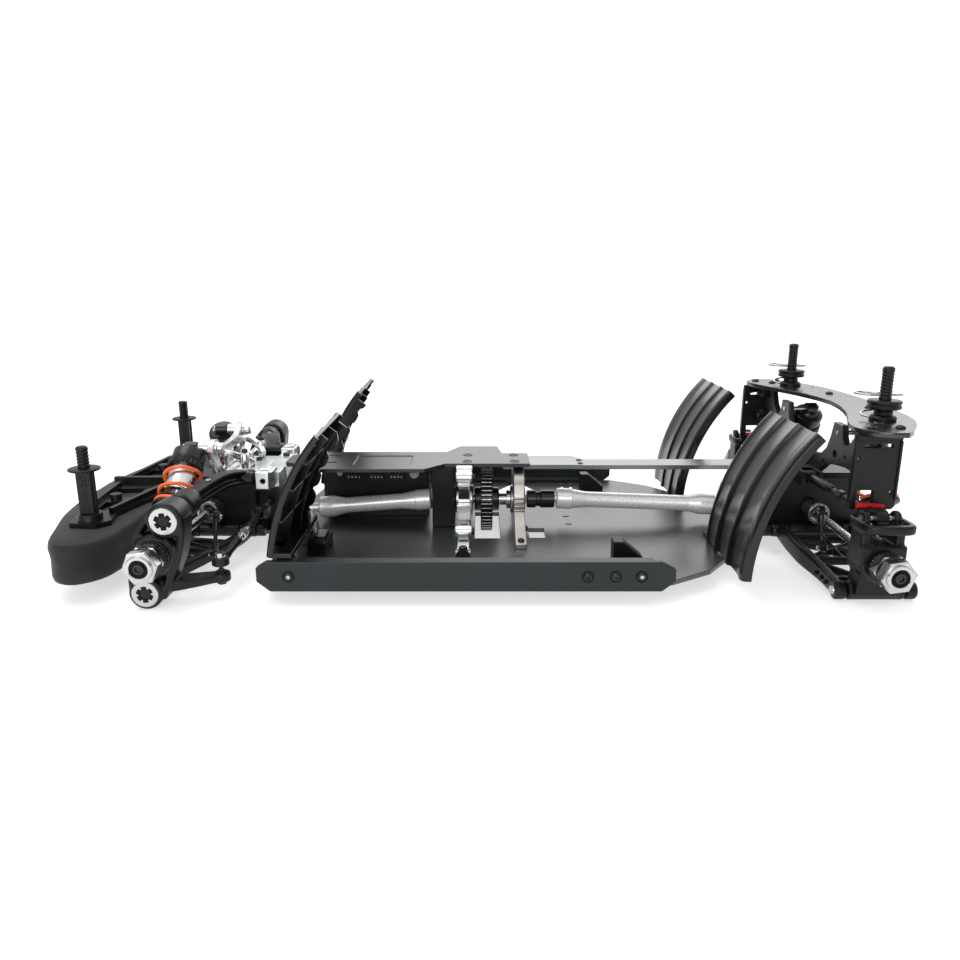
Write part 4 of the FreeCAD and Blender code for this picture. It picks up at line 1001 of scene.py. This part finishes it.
def sway_links():
    """Short vertical links between each lower arm and its sway bar."""
    for end, hi, lo, body in (("front", (-163.5, 77, 39), (-166, 80, 16.5), "front_arm"),
            ("rear", (205.5, 62, 38.5), (207, 66, 15.5), "rear_arm")):
        for side, s in SIDES:
            p, q = sided(s)(*hi), sided(s)(*lo)
            link = bmesh.new()
            span = (q - p).length
            lathe(link, p, q, [(1.5, 1.4), (3, 2.1), (8, 1.9), (8.4, 1.2), (span - 8.4, 1.2),
                (span - 8, 1.9), (span - 3, 2.1), (span - 1.5, 1.4)], 20)
            for eye in (p, q):
                bush(link, *lengthwise(eye, 2), 2.6, 3.1, 24, 0.4)
            finish_mesh(f"{end}_sway_link_{side}", link, "gear", f"{body}_{side}")
            studs = bmesh.new()
            for eye in (p, q):
                lathe(studs, *lengthwise(eye, 3.2), [(0, 0), (0, 1.5, HEX), (0.9, 1.5, HEX), (1.2, 2.2),
                    (5.2, 2.2), (5.5, 1.4), (6.4, 1.4), (6.4, 0)], 24)
            finish_mesh(f"{end}_sway_studs_{side}", studs, "steel", f"{body}_{side}")


def shock_ear(bm, spot, x0, x1, foot, top):
    """Upright plate on a lower arm that holds one end of the shock's pin."""
    shoulder = round(top - 3.6, 1)
    profile = ((81.6, foot), (90.4, foot), (90.4, shoulder), (88.4, top), (83.6, top), (81.6, shoulder))
    slab(bm, [spot(x0, y, z) for y, z in profile], x1 - x0, (1, 0, 0))


def front_lower_arm(side, s, spot):
    """Lower arm: two rails, cross ribs, shock ears and the lower ball."""
    low = on_axis(s, LOW_BALL)
    bm = bmesh.new()
    for x0, x1 in ((-203.6, -192.4), (-165.6, -154.4)):
        bush(bm, spot(x0, *FRONT_HINGE), spot(x1, *FRONT_HINGE), 3.9, 4.4, 28)
    bar(bm, [spot(-198, 28, 14), spot(-198, 52, 13.2), spot(-196, 76, 12), spot(-192, 96, 10.6)], 6.4, 7.4,
        1.4)
    bar(bm, [spot(-160, 28, 14), spot(-162.5, 46, 13.4), spot(-172, 70, 12.4), spot(-184, 94, 10.8)], 6.4,
        7.4, 1.4)
    bar(bm, [spot(-197, 46, 13.2), spot(-166, 52, 13)], 3.6, 5, 0.9)
    bar(bm, [spot(-197, 62, 12.6), spot(-172, 67, 12.4)], 3.6, 5, 0.9)
    bar(bm, [spot(-196, 48, 13), spot(-172, 64, 12.6)], 2.6, 4.4, 0.8)
    bar(bm, [spot(-196, 66, 12.4), spot(-178, 80, 12)], 2.6, 4.4, 0.8)
    bar(bm, [spot(-197, 84, 11.6), spot(-183, 87, 11.4)], 13, 6.6, 1.4)
    lathe(bm, spot(-190, 84, 11.2), spot(-190, 101.6, 10), [(0, 4), (1, 5.6), (15, 5.4), (17, 4)], 28)
    for x0, x1 in ((-205.2, -203), (-193, -190.8)):
        shock_ear(bm, spot, x0, x1, 9, 23)
    block(bm, (-205.2, -190.8), (s * 82, s * 90), 9, 4.6)
    moulded(f"front_low_arm_{side}", bm, f"front_arm_{side}", (f"front_lower_arm_{side}",), 0.7, 2)
    stud = bmesh.new()
    lathe(stud, low(113), spot(-190, 100, 10.2), [(0, 0), (0.2, 2.2), (13, 2.2)], 20)
    bead(stud, low(113), 3.6)
    lathe(stud, spot(-205.8, *FRONT_SHOCK_EYE), spot(-190.2, *FRONT_SHOCK_EYE),
        [(0, 0), (0, 2.4), (1, 2.4), (1, 1.5), (14.6, 1.5), (14.6, 2.4), (15.6, 2.4), (15.6, 0)], 20)
    finish_mesh(f"front_low_ball_{side}", stud, "steel", f"front_arm_{side}")


def rear_carrier(side, s, spot):
    """Hub carrier with its upper pin, toe shim and bearing seal."""
    axle = on_axis(s, REAR_AXLE)
    bm = bmesh.new()
    lathe(bm, axle(103), axle(121), [(0, 11), (1, 12), (16.6, 12), (18, 11)], 48)
    bush(bm, spot(203, *CARRIER_HINGE), spot(235.4, *CARRIER_HINGE), 4.6, 5.5, 28, 0.8)
    slab(bm, [spot(204.5, 106, 5), spot(230, 106, 5), spot(228.4, 106, 14), spot(225, 106, 24),
        spot(207, 106, 24), spot(205.5, 106, 14)], s * 13.5, (0, 1, 0))
    for x in (206.5, 225.5):
        bar(bm, [spot(x, 113, 47), spot(x, 113, 36), spot(x, 113, 24)], 5.2, 15, 1.4, up=(0, 1, 0))
    bar(bm, [spot(203.6, 121, 30), spot(228.4, 121, 30)], 3.6, 12, 1.2)
    loop = [spot(x, y, 46.4) for x, y in ((205, 106), (205, 121), (208.5, 125.6), (217, 126.2),
        (226.5, 125.6), (229, 121), (228, 106), (223, 104.4), (210, 104.4))]
    sweep(bm, closed_curve(loop, 5), rounded_section(4.2, 5.4, 1.3), closed=True)
    block(bm, (207.6, 221), (s * 101.6, s * 105.6), 47, 5.4)
    for x in (206.4, 223.6):
        bush(bm, spot(x - 1.8, *CARRIER_EYE), spot(x + 1.8, *CARRIER_EYE), 3.8, 4.3, 28, 0.4)
    moulded(f"rear_carrier_shell_{side}", bm, f"rear_knuckle_{side}", (f"rear_carrier_{side}",), 0.7, 2)

    bits = bmesh.new()
    lathe(bits, spot(204, *CARRIER_EYE), spot(226, *CARRIER_EYE), [(0, 0), (0, 1.9, HEX), (1, 1.9, HEX),
        (1, 1.5), (21, 1.5), (21, 1.9), (22, 1.9), (22, 0)], 24)
    finish_mesh(f"rear_carrier_pin_{side}", bits, "steel", f"rear_knuckle_{side}")
    shim = bmesh.new()
    slab(shim, [spot(206.6, 101.8, 52.6), spot(209.6, 100.4, 52.6), spot(219.6, 100.4, 52.6),
        spot(222, 101.8, 52.6), spot(222, 104.6, 52.6), spot(206.6, 104.6, 52.6)], 2)
    finish_mesh(f"rear_toe_shim_{side}", shim, "red", f"rear_knuckle_{side}", edge=0.4)
    seal = bmesh.new()
    lathe(seal, axle(120.6), axle(123), [(0, 10.6), (1, 10.6), (1.3, 10.2), (1.3, 9.4), (0.6, 9.3),
        (0.6, 8.8), (1.8, 8.6), (1.8, 7)], 56)
    finish_mesh(f"rear_bearing_seal_{side}", seal, "gear", f"rear_knuckle_{side}")


def rear_low_arm(side, s, spot):
    """Lower arm: two rails, struts, shock ears and pins."""
    bm = bmesh.new()
    for x0, x1 in ((187.6, 199.4), (234.1, 245.9)):
        bush(bm, spot(x0, *REAR_HINGE), spot(x1, *REAR_HINGE), 3.9, 4.4, 28)
    for x0, x1 in ((196.1, 202.3), (236.1, 242.3)):
        bush(bm, spot(x0, *CARRIER_HINGE), spot(x1, *CARRIER_HINGE), 4.7, 5.4, 28)
    for xs in ((193, 192.4, 193.8, 198.4, 199.2), (240, 241.6, 242.4, 240.4, 239.2)):
        rail = [spot(x, y, z) for x, y, z in zip(xs, (32, 52, 70, 88, 106), (15, 14.4, 12, 8, 6.2))]
        bar(bm, rail, 5.6, 9.6, 1.4, scale=((0.85, 0.8), (1, 1.15), (1.05, 1.2), (1, 1), (1, 0.85)))
    for a, b, w in (((193, 44, 13.4), (240.6, 44, 13.4), 3.4), ((194.6, 74, 9.8), (241, 74, 9.8), 3.4),
            ((199, 98, 6.6), (240, 98, 6.6), 3.6), ((194, 45, 13), (239, 73, 10), 2.4),
            ((241, 45, 13), (196, 73, 10), 2.4), ((196, 75, 9.6), (217, 97, 7), 2.4),
            ((238, 75, 9.6), (217, 97, 7), 2.4), ((217, 45, 13.2), (217, 74, 9.8), 2.2)):
        bar(bm, [spot(*a), spot(*b)], w, 5.4, 0.8)
    for x0, x1 in ((229.6, 231.8), (242.2, 244.4)):
        shock_ear(bm, spot, x0, x1, 4.4, 22.4)
    block(bm, (229.6, 244.4), (s * 82, s * 90), 4.4, 6.6)
    moulded(f"rear_low_arm_{side}", bm, f"rear_arm_{side}", (f"rear_lower_arm_{side}",), 0.7, 2)
    bits = bmesh.new()
    lathe(bits, spot(194.8, *CARRIER_HINGE), spot(243.4, *CARRIER_HINGE),
        [(0, 0), (0, 2.4), (1, 2.6), (1, 1.5), (47.6, 1.5), (47.6, 2.6), (48.6, 2.4), (48.6, 0)], 24)
    lathe(bits, spot(229, *REAR_SHOCK_EYE), spot(245, *REAR_SHOCK_EYE),
        [(0, 0), (0, 2.4), (1, 2.4), (1, 1.5), (15, 1.5), (15, 2.4), (16, 2.4), (16, 0)], 20)
    finish_mesh(f"rear_low_pins_{side}", bits, "steel", f"rear_arm_{side}")
    # The shallow dots carry painted shade: near-black for the shadow in their dips.
    dots = bmesh.new()
    for y, z in ((88, 7.6), (94, 7), (100, 6.6)):
        x = 195.6 if y > 90 else 194.9
        lathe(dots, spot(x, y, z), spot(x - 1, y, z), [(-0.4, 1.4), (0.35, 1.4), (0.35, 1), (0.05, 0.9),
            (0.05, 0)], 18)
    finish_mesh(f"rear_low_bosses_{side}", dots, "painted_recess_shade", f"rear_arm_{side}")


def rear_link(side, s, spot):
    """Upper link with a turnbuckle."""
    p, q = spot(*REAR_LINK_IN), spot(*REAR_LINK_OUT)
    span = (q - p).length
    bm = bmesh.new()
    bush(bm, *lengthwise(p, 3), 3.6, 4.2, 28)
    bush(bm, *lengthwise(q, 3.4), 4, 4.6, 32)
    lathe(bm, p, q, [(2.6, 2.4), (4, 2.9), (22, 2.9), (26, 2.5), (27, 2.1)], 24)
    lathe(bm, p, q, [(46, 2.1), (47, 2.6), (51, 3), (span - 4.6, 3), (span - 3, 2.6)], 24)
    finish_mesh(f"rear_link_ends_{side}", bm, "moulded", f"rear_link_{side}",
        replaced=(f"rear_upper_link_{side}",))
    bright = bmesh.new()
    lathe(bright, p, q, [(26, 1.7), (33.4, 1.7), (33.6, 3, HEX), (38.4, 3, HEX), (38.6, 1.7), (47, 1.7)],
        30)
    bush(bright, *lengthwise(p, 4.2), 0, 2.4, 24, 0)
    finish_mesh(f"rear_link_buckle_{side}", bright, "dark_steel", f"rear_link_{side}")


# -------------------------------------------------------- centre parts

def centre_castings():
    """Motor mount and rear bearing plate around the centre shaft."""
    bm = bmesh.new()
    edge = [(-70, 12), (34, 12), (34, 30), (26, 38), (22, 54.4), (-14, 54.4), (-24, 46), (-29, 36),
        (-33, 27), (-46, 19.5), (-70, 16)]
    slab(bm, [(-19.6, y, z) for y, z in edge], 7.2, (1, 0, 0))
    for x0, x1, y0, y1, z0, z1 in ((-20.6, -11.4, -38.5, -24, 24.5, 34.5), (-20, -12, -33, -20, 45.2, 47.6),
            (-20.8, -11.2, -72.5, -66, 12.2, 15), (-19.4, -12.6, -60, -42, 18.4, 22.6),
            (-20, -12, -31.5, -22, 34.6, 37), (-21.2, -18, -30, -22, 48, 50.2),
            (-14, -11.2, -30, -22, 48, 50.2)):
        block(bm, (x0, x1), (y0, y1), z0, z1 - z0)
    bush(bm, *on_shaft(-22.4, -10), 9, 9.8, 40, 0.6)
    for y, z in ((-27, 50.4), (-20, 53), (24, 46), (30, 26), (-52, 21.5), (30, 15)):
        bush(bm, (-21.4, y, z), (-10.6, y, z), 3, 3.6, 24, 0.4)
    finish_mesh("motor_mount", bm, "casting", edge=0.35, replaced=("centre_mounts",))

    # Painted shade: dark anodised blocks on the near face of the bright casting stand for the shaded steps
    # of the mount.
    shade = bmesh.new()
    for x0, x1, y0, y1, z0, z1 in ((-19.4, -12.6, -33.6, -30, 37.4, 43.2),
            (-14.4, -11.6, -38.9, -34, 20.4, 23.6), (-18.8, -13.2, -46, -40, 22.8, 24.2)):
        block(shade, (x0, x1), (y0, y1), z0, z1 - z0)
    finish_mesh("motor_mount_painted_shade", shade, "tower", edge=0.3)
    bolts = bmesh.new()
    cap_screw(bolts, (-16, -70.4, 15.2), UP, 2.7, 2.6)
    lathe(bolts, (-16, -70, PLATE_TOP), (-16, -71, PLATE_TOP), [(-1.5, 4.4), (3.6, 4.4), (3.6, 0)], 24)
    for y, z in ((-27, 50.4), (24, 46), (-52, 21.5)):
        cap_screw(bolts, (-10.8, y, z), REARWARDS, 2.2, 2)
    for x in (-18.6, -16, -13.4):
        lathe(bolts, (x, -21.2, 47.4), (x, -21.2, 48), [(0, 1.1), (5.6, 1.1), (6, 0.7)], 16)
    finish_mesh("motor_mount_bolts", bolts, "dark_steel")

    rear = bmesh.new()
    edge = [(-60, 12), (20, 12), (20, 52.9), (-10, 52.9), (-20.6, 48), (-23.8, 44), (-25.4, 35),
        (-29.4, 28), (-42, 20.5), (-60, 15.5)]
    slab(rear, [(17, y, z) for y, z in edge], 7, (1, 0, 0))
    for k in range(5):
        z = 25 + 2.4 * k
        block(rear, (17, 24), (-31.6 + 1.2 * k, -24), z, 1.4)
    bush(rear, *on_shaft(15.4, 25.6), 9.2, 9.8, 40, 0.6)
    finish_mesh("rear_bearing_mount", rear, "bronze", edge=0.4)
    dots = bmesh.new()
    for y, z in ((-36, 18), (14, 46), (14, 18), (-16, 46)):
        cap_screw(dots, (24, y, z), REARWARDS, 2, 1.8)
    cap_screw(dots, (20.5, -56, 15.6), UP, 2.2, 2)
    finish_mesh("rear_mount_bolts", dots, "dark_steel")


def spur_wheel():
    """Spur gear, its shaft and the cups at both ends."""
    wheel = bmesh.new()
    lathe(wheel, *on_shaft(-5, 3), [(0.2, 20), (0.2, 17), (1.6, 16.4), (1.6, 8.6), (-3.6, 8.2), (-4.4, 7.4),
        (-4.4, 3.1), (12.6, 3.1), (12.6, 7.4), (11.8, 8.2), (6.4, 8.6), (6.4, 16.4), (7.8, 17), (7.8, 20)],
        96)
    for k in range(5):
        a = 2 * math.pi * k / 5
        y, z = 12.6 * math.cos(a), SHAFT_Z + 12.6 * math.sin(a)
        bush(wheel, (-4.2, y, z), (2.2, y, z), 2.6, 3, 20, 0.3)
    lathe(wheel, *on_shaft(27, 46), [(0, 5.4), (0.6, 6.2), (6, 6.2), (6.6, 5.2), (9, 5.2), (9.6, 6.2),
        (18.4, 6.2), (19, 5.6), (19, 4.1), (12, 4), (12, 0)], 40)
    lathe(wheel, *on_shaft(-36, -24), [(0, 4.2), (0.4, 4.8), (4.4, 4.8), (4.8, 3.4), (6.6, 3.4), (7, 5.2),
        (11.6, 5.2), (12, 4.6)], 36)
    finish_mesh("spur_wheel", wheel, "gear", "centre_gear", slot="gear_black", replaced=("spur_gear",))
    teeth = 46
    rim = bmesh.new()
    n = teeth * 4
    depth = 2.2
    lathe(rim, *on_shaft(-5, 3), [(0.4, 19), (0, 20.6, ("teeth", depth)), (0.4, 22, ("teeth", depth)),
        (7.6, 22, ("teeth", depth)), (8, 20.6, ("teeth", depth)), (7.6, 19)], n)
    finish_mesh("spur_teeth", rim, "dark_steel", "centre_gear", slot="gear_black", angle=20)
    # Painted highlights: thin bright satin sheets on the tips of the black gear teeth stand for the glint
    # of the tips.
    tip_highlights = bmesh.new()
    for k in range(teeth):
        a0 = 2 * math.pi * (4 * k + 0.08) / n
        a1 = 2 * math.pi * (4 * k + 0.92) / n
        pts = []
        for x in (-4.4, 2.4):
            for a in (a0, a1):
                pts.append(Vector((x, 22.03 * math.cos(a), SHAFT_Z + 22.03 * math.sin(a))) * MM)
        verts = [tip_highlights.verts.new(p) for p in (pts[0], pts[1], pts[3], pts[2])]
        tip_highlights.faces.new(verts)
    bmesh.ops.solidify(tip_highlights, geom=tip_highlights.faces[:], thickness=0.06 * MM)
    finish_mesh("spur_painted_tip_highlights", tip_highlights, "tube", "centre_gear", slot="gear_black")
    shaft = bmesh.new()
    bush(shaft, *on_shaft(-36, 26.4), 2.9, 3, 28, 0.4)
    lathe(shaft, *on_shaft(4, 16.5), [(0, 5.6), (0.4, 6), (3, 6), (3.4, 4.2), (8.6, 4.2), (9, 6.6),
        (11.4, 6.6), (11.8, 6)], 36)
    finish_mesh("centre_shaft", shaft, "steel", "centre_gear", slot="gear_black")


# ------------------------------------------------------ towers and plates

def propeller_shafts():
    """Tubes with collars between the spur gear and both gearboxes."""
    for name, x0, x1, stub, z0, slope in (("front", -39.5, -117, -168.5, 27.886, 6 / 79),
            ("rear", 47.5, 157, 200.5, 28.48, -4 / 101)):
        s = 1 if x1 > x0 else -1
        start = Vector((x0, 0, z0))
        end = Vector((stub, 0, z0 + (stub - x0) * slope))
        run = abs(x1 - x0)
        reach = (end - start).length
        bm = bmesh.new()
        lathe(bm, start, end, [(0, 6.4), (0.8, 7.2), (10.4, 7.2), (10.9, 6.6), (12.6, 6.5), (19.4, 5.5),
            (20.6, 5.4), (run - 18.6, 5.4), (run - 17.4, 5.6), (run - 10.6, 7.2), (run - 9.4, 7.4),
            (run - 0.9, 7.4), (run, 6.7), (run, 3.2), (reach - 0.6, 3.2), (reach, 2.6)], 64)
        if s > 0:
            lathe(bm, (42, 0, z0 + (42 - x0) * slope), start, [(0, 2.2), (0.4, 2.6), (6.2, 2.6)], 24)
        finish_mesh(name + "_shaft_tube", bm, "tube", name + "_propshaft", replaced=(name + "_shaft",),
            angle=16)


def front_tower_plate():
    """Shock tower, its pins and the braces behind it."""
    half = [(0, 46.2), (17, 46.2), (21, 49), (27, 53), (37, 66), (38, 70), (36, 74), (32, 76.5), (27, 76),
        (19, 70.4), (12, 69.4), (0, 69.2)]
    outline = both_sides(half)
    holes = [round_loop(0, 60, 2.4, 16), round_loop(0, 52, 1.8, 14)]
    for s in (1, -1):
        window = [(5.5, 54), (14, 51.5), (19.5, 55), (27, 64), (26.5, 68), (20, 65), (13, 63.5),
            (5.5, 63.5)]
        holes.append([(s * y, z) for y, z in window])
        holes.append(round_loop(s * 32.6, 70.6, 2, 16))
    turn = across_car(-0.178)
    mesh = plate_mesh("front_tower_plate", outline, holes, 4, turn, 0.4)
    add_piece("front_tower_plate", mesh, "silver", replaced=("front_tower",))
    bits = bmesh.new()
    block(bits, (-180, -166), (-14, 14), 46.1, 3.2)
    for s in (1, -1):
        spot = sided(s)
        lathe(bits, spot(-192.5, *FRONT_SHOCK_PIN), spot(-176, *FRONT_SHOCK_PIN),
            [(0, 2.4), (0.4, 2.6), (16.5, 2.6)], 28)
        lathe(bits, spot(-187.2, *FRONT_SHOCK_PIN), spot(-176, *FRONT_SHOCK_PIN),
            [(0, 3.4), (0.8, 4.2), (7.2, 4.6), (7.2, 2.6)], 32)
        lathe(bits, spot(-176, *FRONT_SHOCK_PIN), spot(-168, *FRONT_SHOCK_PIN),
            [(0, 4.2), (1.2, 4.2), (1.6, 3.6), (4.6, 3.4), (5, 2.8)], 32)
    bush(bits, (-181.5, -24, 63), (-181.5, 24, 63), 1.9, 2.2, 20, 0.4)
    for s in (1, -1):
        bar(bits, [(-181, s * 20, 64), (-172, s * 24, 66), (-163, s * 20, 62), (-158, s * 14, 57)], 3.4,
            4.6, 0.8)
        lathe(bits, (-161, s * 20, 55), (-161, s * 20, 66), [(0, 2.4), (1, 2.9), (9, 2.9), (10, 2.2)], 24)
    finish_mesh("front_tower_fittings", bits, "silver", edge=0.3)
    dark = bmesh.new()
    for s in (1, -1):
        cap_screw(dark, (-175.4, s * 12, 50), REARWARDS, 2.2, 2)
        button_screw(dark, (-180.2, s * 9, 57.5), FORWARDS, 2, 1.2)
        cap_screw(dark, (-161, s * 20, 65.6), UP, 2, 2.2)
    cap_screw(dark, (-172, 0, 49.2), UP, 2.2, 2.2)
    finish_mesh("front_tower_screws", dark, "dark_steel")


def arm_mount_block():
    """Machined block that carries the upper arms."""
    bm = bmesh.new()
    plan = [(-149, -28), (-137, -28), (-137, -12), (-128.2, -10), (-128.2, 10), (-137, 12), (-137, 28),
        (-149, 28)]
    slab(bm, [(x, y, 44.1) for x, y in plan], 10.3)
    block(bm, (-169.4, -149), (-21, 21), 50.1, 3.8)
    block(bm, (-158, -149), (-9, 9), 46.1, 4)
    for s in (1, -1):
        ear = [(-149, 26), (-138.6, 26), (-138.6, 40.5), (-140.4, 43), (-149, 43)]
        slab(bm, [(x, s * y, 46.4) for x, y in ear], 11.6)
        block(bm, (-169.4, -165.6), (s * 15, s * 42), 50.1, 7.8)
        block(bm, (-147.2, -141), (s * 30, s * 40), 57.8, 1.4)
    finish_mesh("arm_mount_block", bm, "casting", edge=0.7, replaced=("upper_arm_mount",))
    dark = bmesh.new()
    for s in (1, -1):
        lathe(dark, (-138.8, s * 38, 54), (-137.4, s * 38, 54), [(0, 2.9), (0.5, 2.9), (0.5, 1.9),
            (0.1, 1.8), (0.1, 0)], 24)
        cap_screw(dark, (-143.5, s * 20, 54.2), UP, 2.3, 2)
        lathe(dark, (-144, s * 43, 52), (-144, s * 44, 52), [(-0.3, 1.9), (0.2, 1.9), (0.2, 1.2), (0, 1.2),
            (0, 0)], 20)
        cap_screw(dark, (-160, s * 9, 53.8), UP, 2, 1.8)
    finish_mesh("arm_mount_screws", dark, "dark_steel")


def rear_plates():
    """Rear tower, top plate and the two side plates under it."""
    half = [(0, 53.1), (21, 53.1), (27, 57), (33, 61), (46, 63.5), (60, 65), (74, 64.4), (84, 64.2),
        (92.9, 66), (92.9, 93.9), (72.2, 93.9), (66.5, 84), (60.5, 79), (55.5, 78.6), (52.4, 83),
        (51, 89.6), (38.4, 89.6), (35.5, 80), (31, 71.5), (24, 66.4), (12, 64.2), (0, 64)]
    outline = both_sides(half)
    holes = []
    for s in (1, -1):
        holes += [round_loop(s * 44, 70, 2.5, 18), round_loop(s * 84, 72, 2, 16),
            round_loop(s * 67, 72, 1.3, 14), round_loop(s * 58, 71, 1.3, 14),
            round_loop(s * 28, 62.4, 1.3, 14)]
    turn = across_car(0.220)
    mesh = plate_mesh("rear_tower_plate", outline, holes, 4, turn, 0.35)
    add_piece("rear_tower_plate", mesh, "tower", replaced=("rear_tower",))

    front = [(231, 0), (229.4, 16), (226.4, 30), (221.6, 46), (215.6, 61), (209.6, 75), (206.6, 84)]
    tail = [(205.2, 93), (207, 101), (212, 108), (219, 111), (227.5, 110.8), (233.4, 104), (238.4, 94.5),
        (245.4, 84), (250.6, 72), (254.4, 56), (256.6, 32), (257.5, 10), (257.5, 0)]
    outline = front + tail
    outline += [(x, -y) for x, y in reversed(outline) if y > 0]
    holes = []
    for s in (1, -1):
        holes += [round_loop(243, s * 30, 1.6, 16), round_loop(222, s * 86, 1.6, 16),
            round_loop(243, s * 60, 1.4, 14)]
    mesh = plate_mesh("rear_shell_plate", outline, holes, 3, Matrix.Translation((0, 0, 0.0955)), 0.3)
    add_piece("rear_shell_plate", mesh, "top_plate", replaced=("rear_top_plate",))

    for side, s in SIDES:
        outline = [(204.2, 52), (205.4, 50.1), (208.3, 50.1), (208.3, 61.4), (217.5, 61.4), (217.5, 50.1),
            (229, 50.1), (230.8, 52), (230.8, 93.8), (204.2, 93.8)]
        holes = [[(209.5, 86.2), (225.5, 86.2), (225.5, 88.3), (214, 88.3), (209.5, 87.4)],
            round_loop(227.6, 60, 1, 12), round_loop(207.2, 80, 1, 12)]
        turn = Matrix(((1, 0, 0, 0), (0, 0, -1, s * 0.0975), (0, 1, 0, 0), (0, 0, 0, 1)))
        mesh = plate_mesh(f"side_plate_{side}", outline, holes, 2.9, turn, 0.35)
        add_piece(f"side_plate_{side}", mesh, "moulded")
    bm = bmesh.new()
    for s in (1, -1):
        for z0, z1 in ((67.2, 76.8), (86.2, 93.9)):
            block(bm, (214, 218), (s * 80.2, s * 96.4), z0, z1 - z0)
        bar(bm, [(204.8, s * 99.4, 92.2), (217.5, s * 99.6, 92.2), (230.2, s * 99.4, 92.2)], 1.6, 3, 0.6)
        bar(bm, [(205, s * 99.3, 90), (205, s * 99.3, 70), (205, s * 99.3, 56)], 1.6, 1.4, 0.5,
            up=(1, 0, 0))
        bar(bm, [(230, s * 99.3, 90), (230, s * 99.3, 70), (230, s * 99.3, 56)], 1.6, 1.4, 0.5,
            up=(1, 0, 0))
    finish_mesh("side_plate_ribs", bm, "moulded", edge=0.4, replaced=("side_plates",))
    bits = bmesh.new()
    for s in (1, -1):
        for z in (70, 74.4):
            button_screw(bits, (217.4, s * 89, z), FORWARDS, 1.9, 1.2)
        cap_screw(bits, (213.8, s * 84, 72), FORWARDS, 2.2, 2)
        cap_screw(bits, (213.8, s * 87, 90), FORWARDS, 1.9, 1.8)
        for y, z in ((67, 72), (58, 71), (28, 62.4)):
            lathe(bits, (217.8, s * y, z), (217, s * y, z), [(-0.3, 1.3), (0.25, 1.3), (0.25, 0.8),
                (0, 0.8), (0, 0)], 16)
    finish_mesh("tower_screws", bits, "dark_steel")


chassis_screws()
foam_bumper()
body_posts()
mud_guards()
guard_stays()
receiver_details()
shocks()
wheel_hubs()
for build in (ring_nut_pair, front_upright, front_top_arm, front_lower_arm, tie_rod):
    for side, s in SIDES:
        build(side, s, sided(s))
sway_links()
for build in (rear_carrier, rear_low_arm, rear_link):
    for side, s in SIDES:
        build(side, s, sided(s))
centre_castings()
spur_wheel()
propeller_shafts()
front_tower_plate()
arm_mount_block()
rear_plates()


# ------------------------------------------------------ camera and light

def pale_floor():
    bm = bmesh.new()
    bmesh.ops.create_grid(bm, x_segments=8, y_segments=8, size=3.0)
    mesh = bpy.data.meshes.new("floor")
    bm.to_mesh(mesh)
    bm.free()
    floor = bpy.data.objects.new("floor", mesh)
    bpy.context.scene.collection.objects.link(floor)
    paper = surface("floor_paper", (0.6, 0.6, 0.6), 0.7, 0.0, 300.0, 0.002, 0.01, 4.0, specular=0.2)
    shader = next(node for node in paper.node_tree.nodes if node.type == "BSDF_PRINCIPLED")
    shader.inputs["Emission Color"].default_value = (1, 1, 1, 1)
    shader.inputs["Emission Strength"].default_value = 0.58
    floor.data.materials.append(paper)


def area_light(name, at, target, size, power):
    data = bpy.data.lights.new(name, "AREA")
    data.shape = "RECTANGLE"
    data.size, data.size_y = size
    data.energy = power
    lamp = bpy.data.objects.new(name, data)
    lamp.location = at
    lamp.rotation_euler = (Vector(target) - Vector(at)).to_track_quat("-Z", "Y").to_euler()
    bpy.context.scene.collection.objects.link(lamp)


def studio_world():
    """White surroundings to the eye; a bright top and back and a dim front light the car."""
    world = bpy.data.worlds.new("studio")
    world.use_nodes = True
    tree = world.node_tree
    tree.nodes.clear()
    coords = add_node(tree, "TexCoord").outputs["Generated"]
    split = add_node(tree, "SeparateXYZ", [("Vector", coords)])
    level = None
    for axis, gain in (("Z", 0.70), ("Y", 0.34), ("X", 0.12)):
        term = add_node(tree, "Math", [(0, split.outputs[axis])])
        term.operation = "MULTIPLY_ADD"
        term.inputs[1].default_value = gain
        if level is None:
            term.inputs[2].default_value = 0.38
        else:
            tree.links.new(level, term.inputs[2])
        level = term.outputs["Value"]
    clamp = add_node(tree, "Clamp", [("Value", level)], Min=0.14, Max=1.2)
    lit = add_node(tree, "Background", [("Strength", clamp.outputs["Result"])], Color=(1, 1, 1, 1))
    seen = add_node(tree, "Background", Color=(1, 1, 1, 1), Strength=1.05)
    path = add_node(tree, "LightPath")
    mix = add_node(tree, "MixShader", [("Fac", path.outputs["Is Camera Ray"]),
        (1, lit.outputs["Background"]),
                                       (2, seen.outputs["Background"])])
    add_node(tree, "OutputWorld", [("Surface", mix.outputs["Shader"])])
    bpy.context.scene.world = world


pale_floor()
area_light("key", (-0.5, 0.1, 1.3), (0, 0, 0), (1.2, 0.8), 8)
area_light("fill", (-0.3, -1.3, 0.45), (0, 0, 0.03), (1.2, 0.6), 8.5)
area_light("back", (0.5, 1.1, 0.6), (0.05, 0, 0.03), (1.6, 0.5), 5)
studio_world()

camera_data = bpy.data.cameras.new("camera")
camera_data.lens = 30.0
camera_data.sensor_width = 36.0
camera = bpy.data.objects.new("camera", camera_data)
camera.location = (-0.0055, -0.536, 0.1827)
camera.rotation_euler = (math.radians(75.24), 0, 0)
bpy.context.scene.collection.objects.link(camera)
bpy.context.scene.camera = camera
bpy.context.scene.view_settings.view_transform = "Standard"
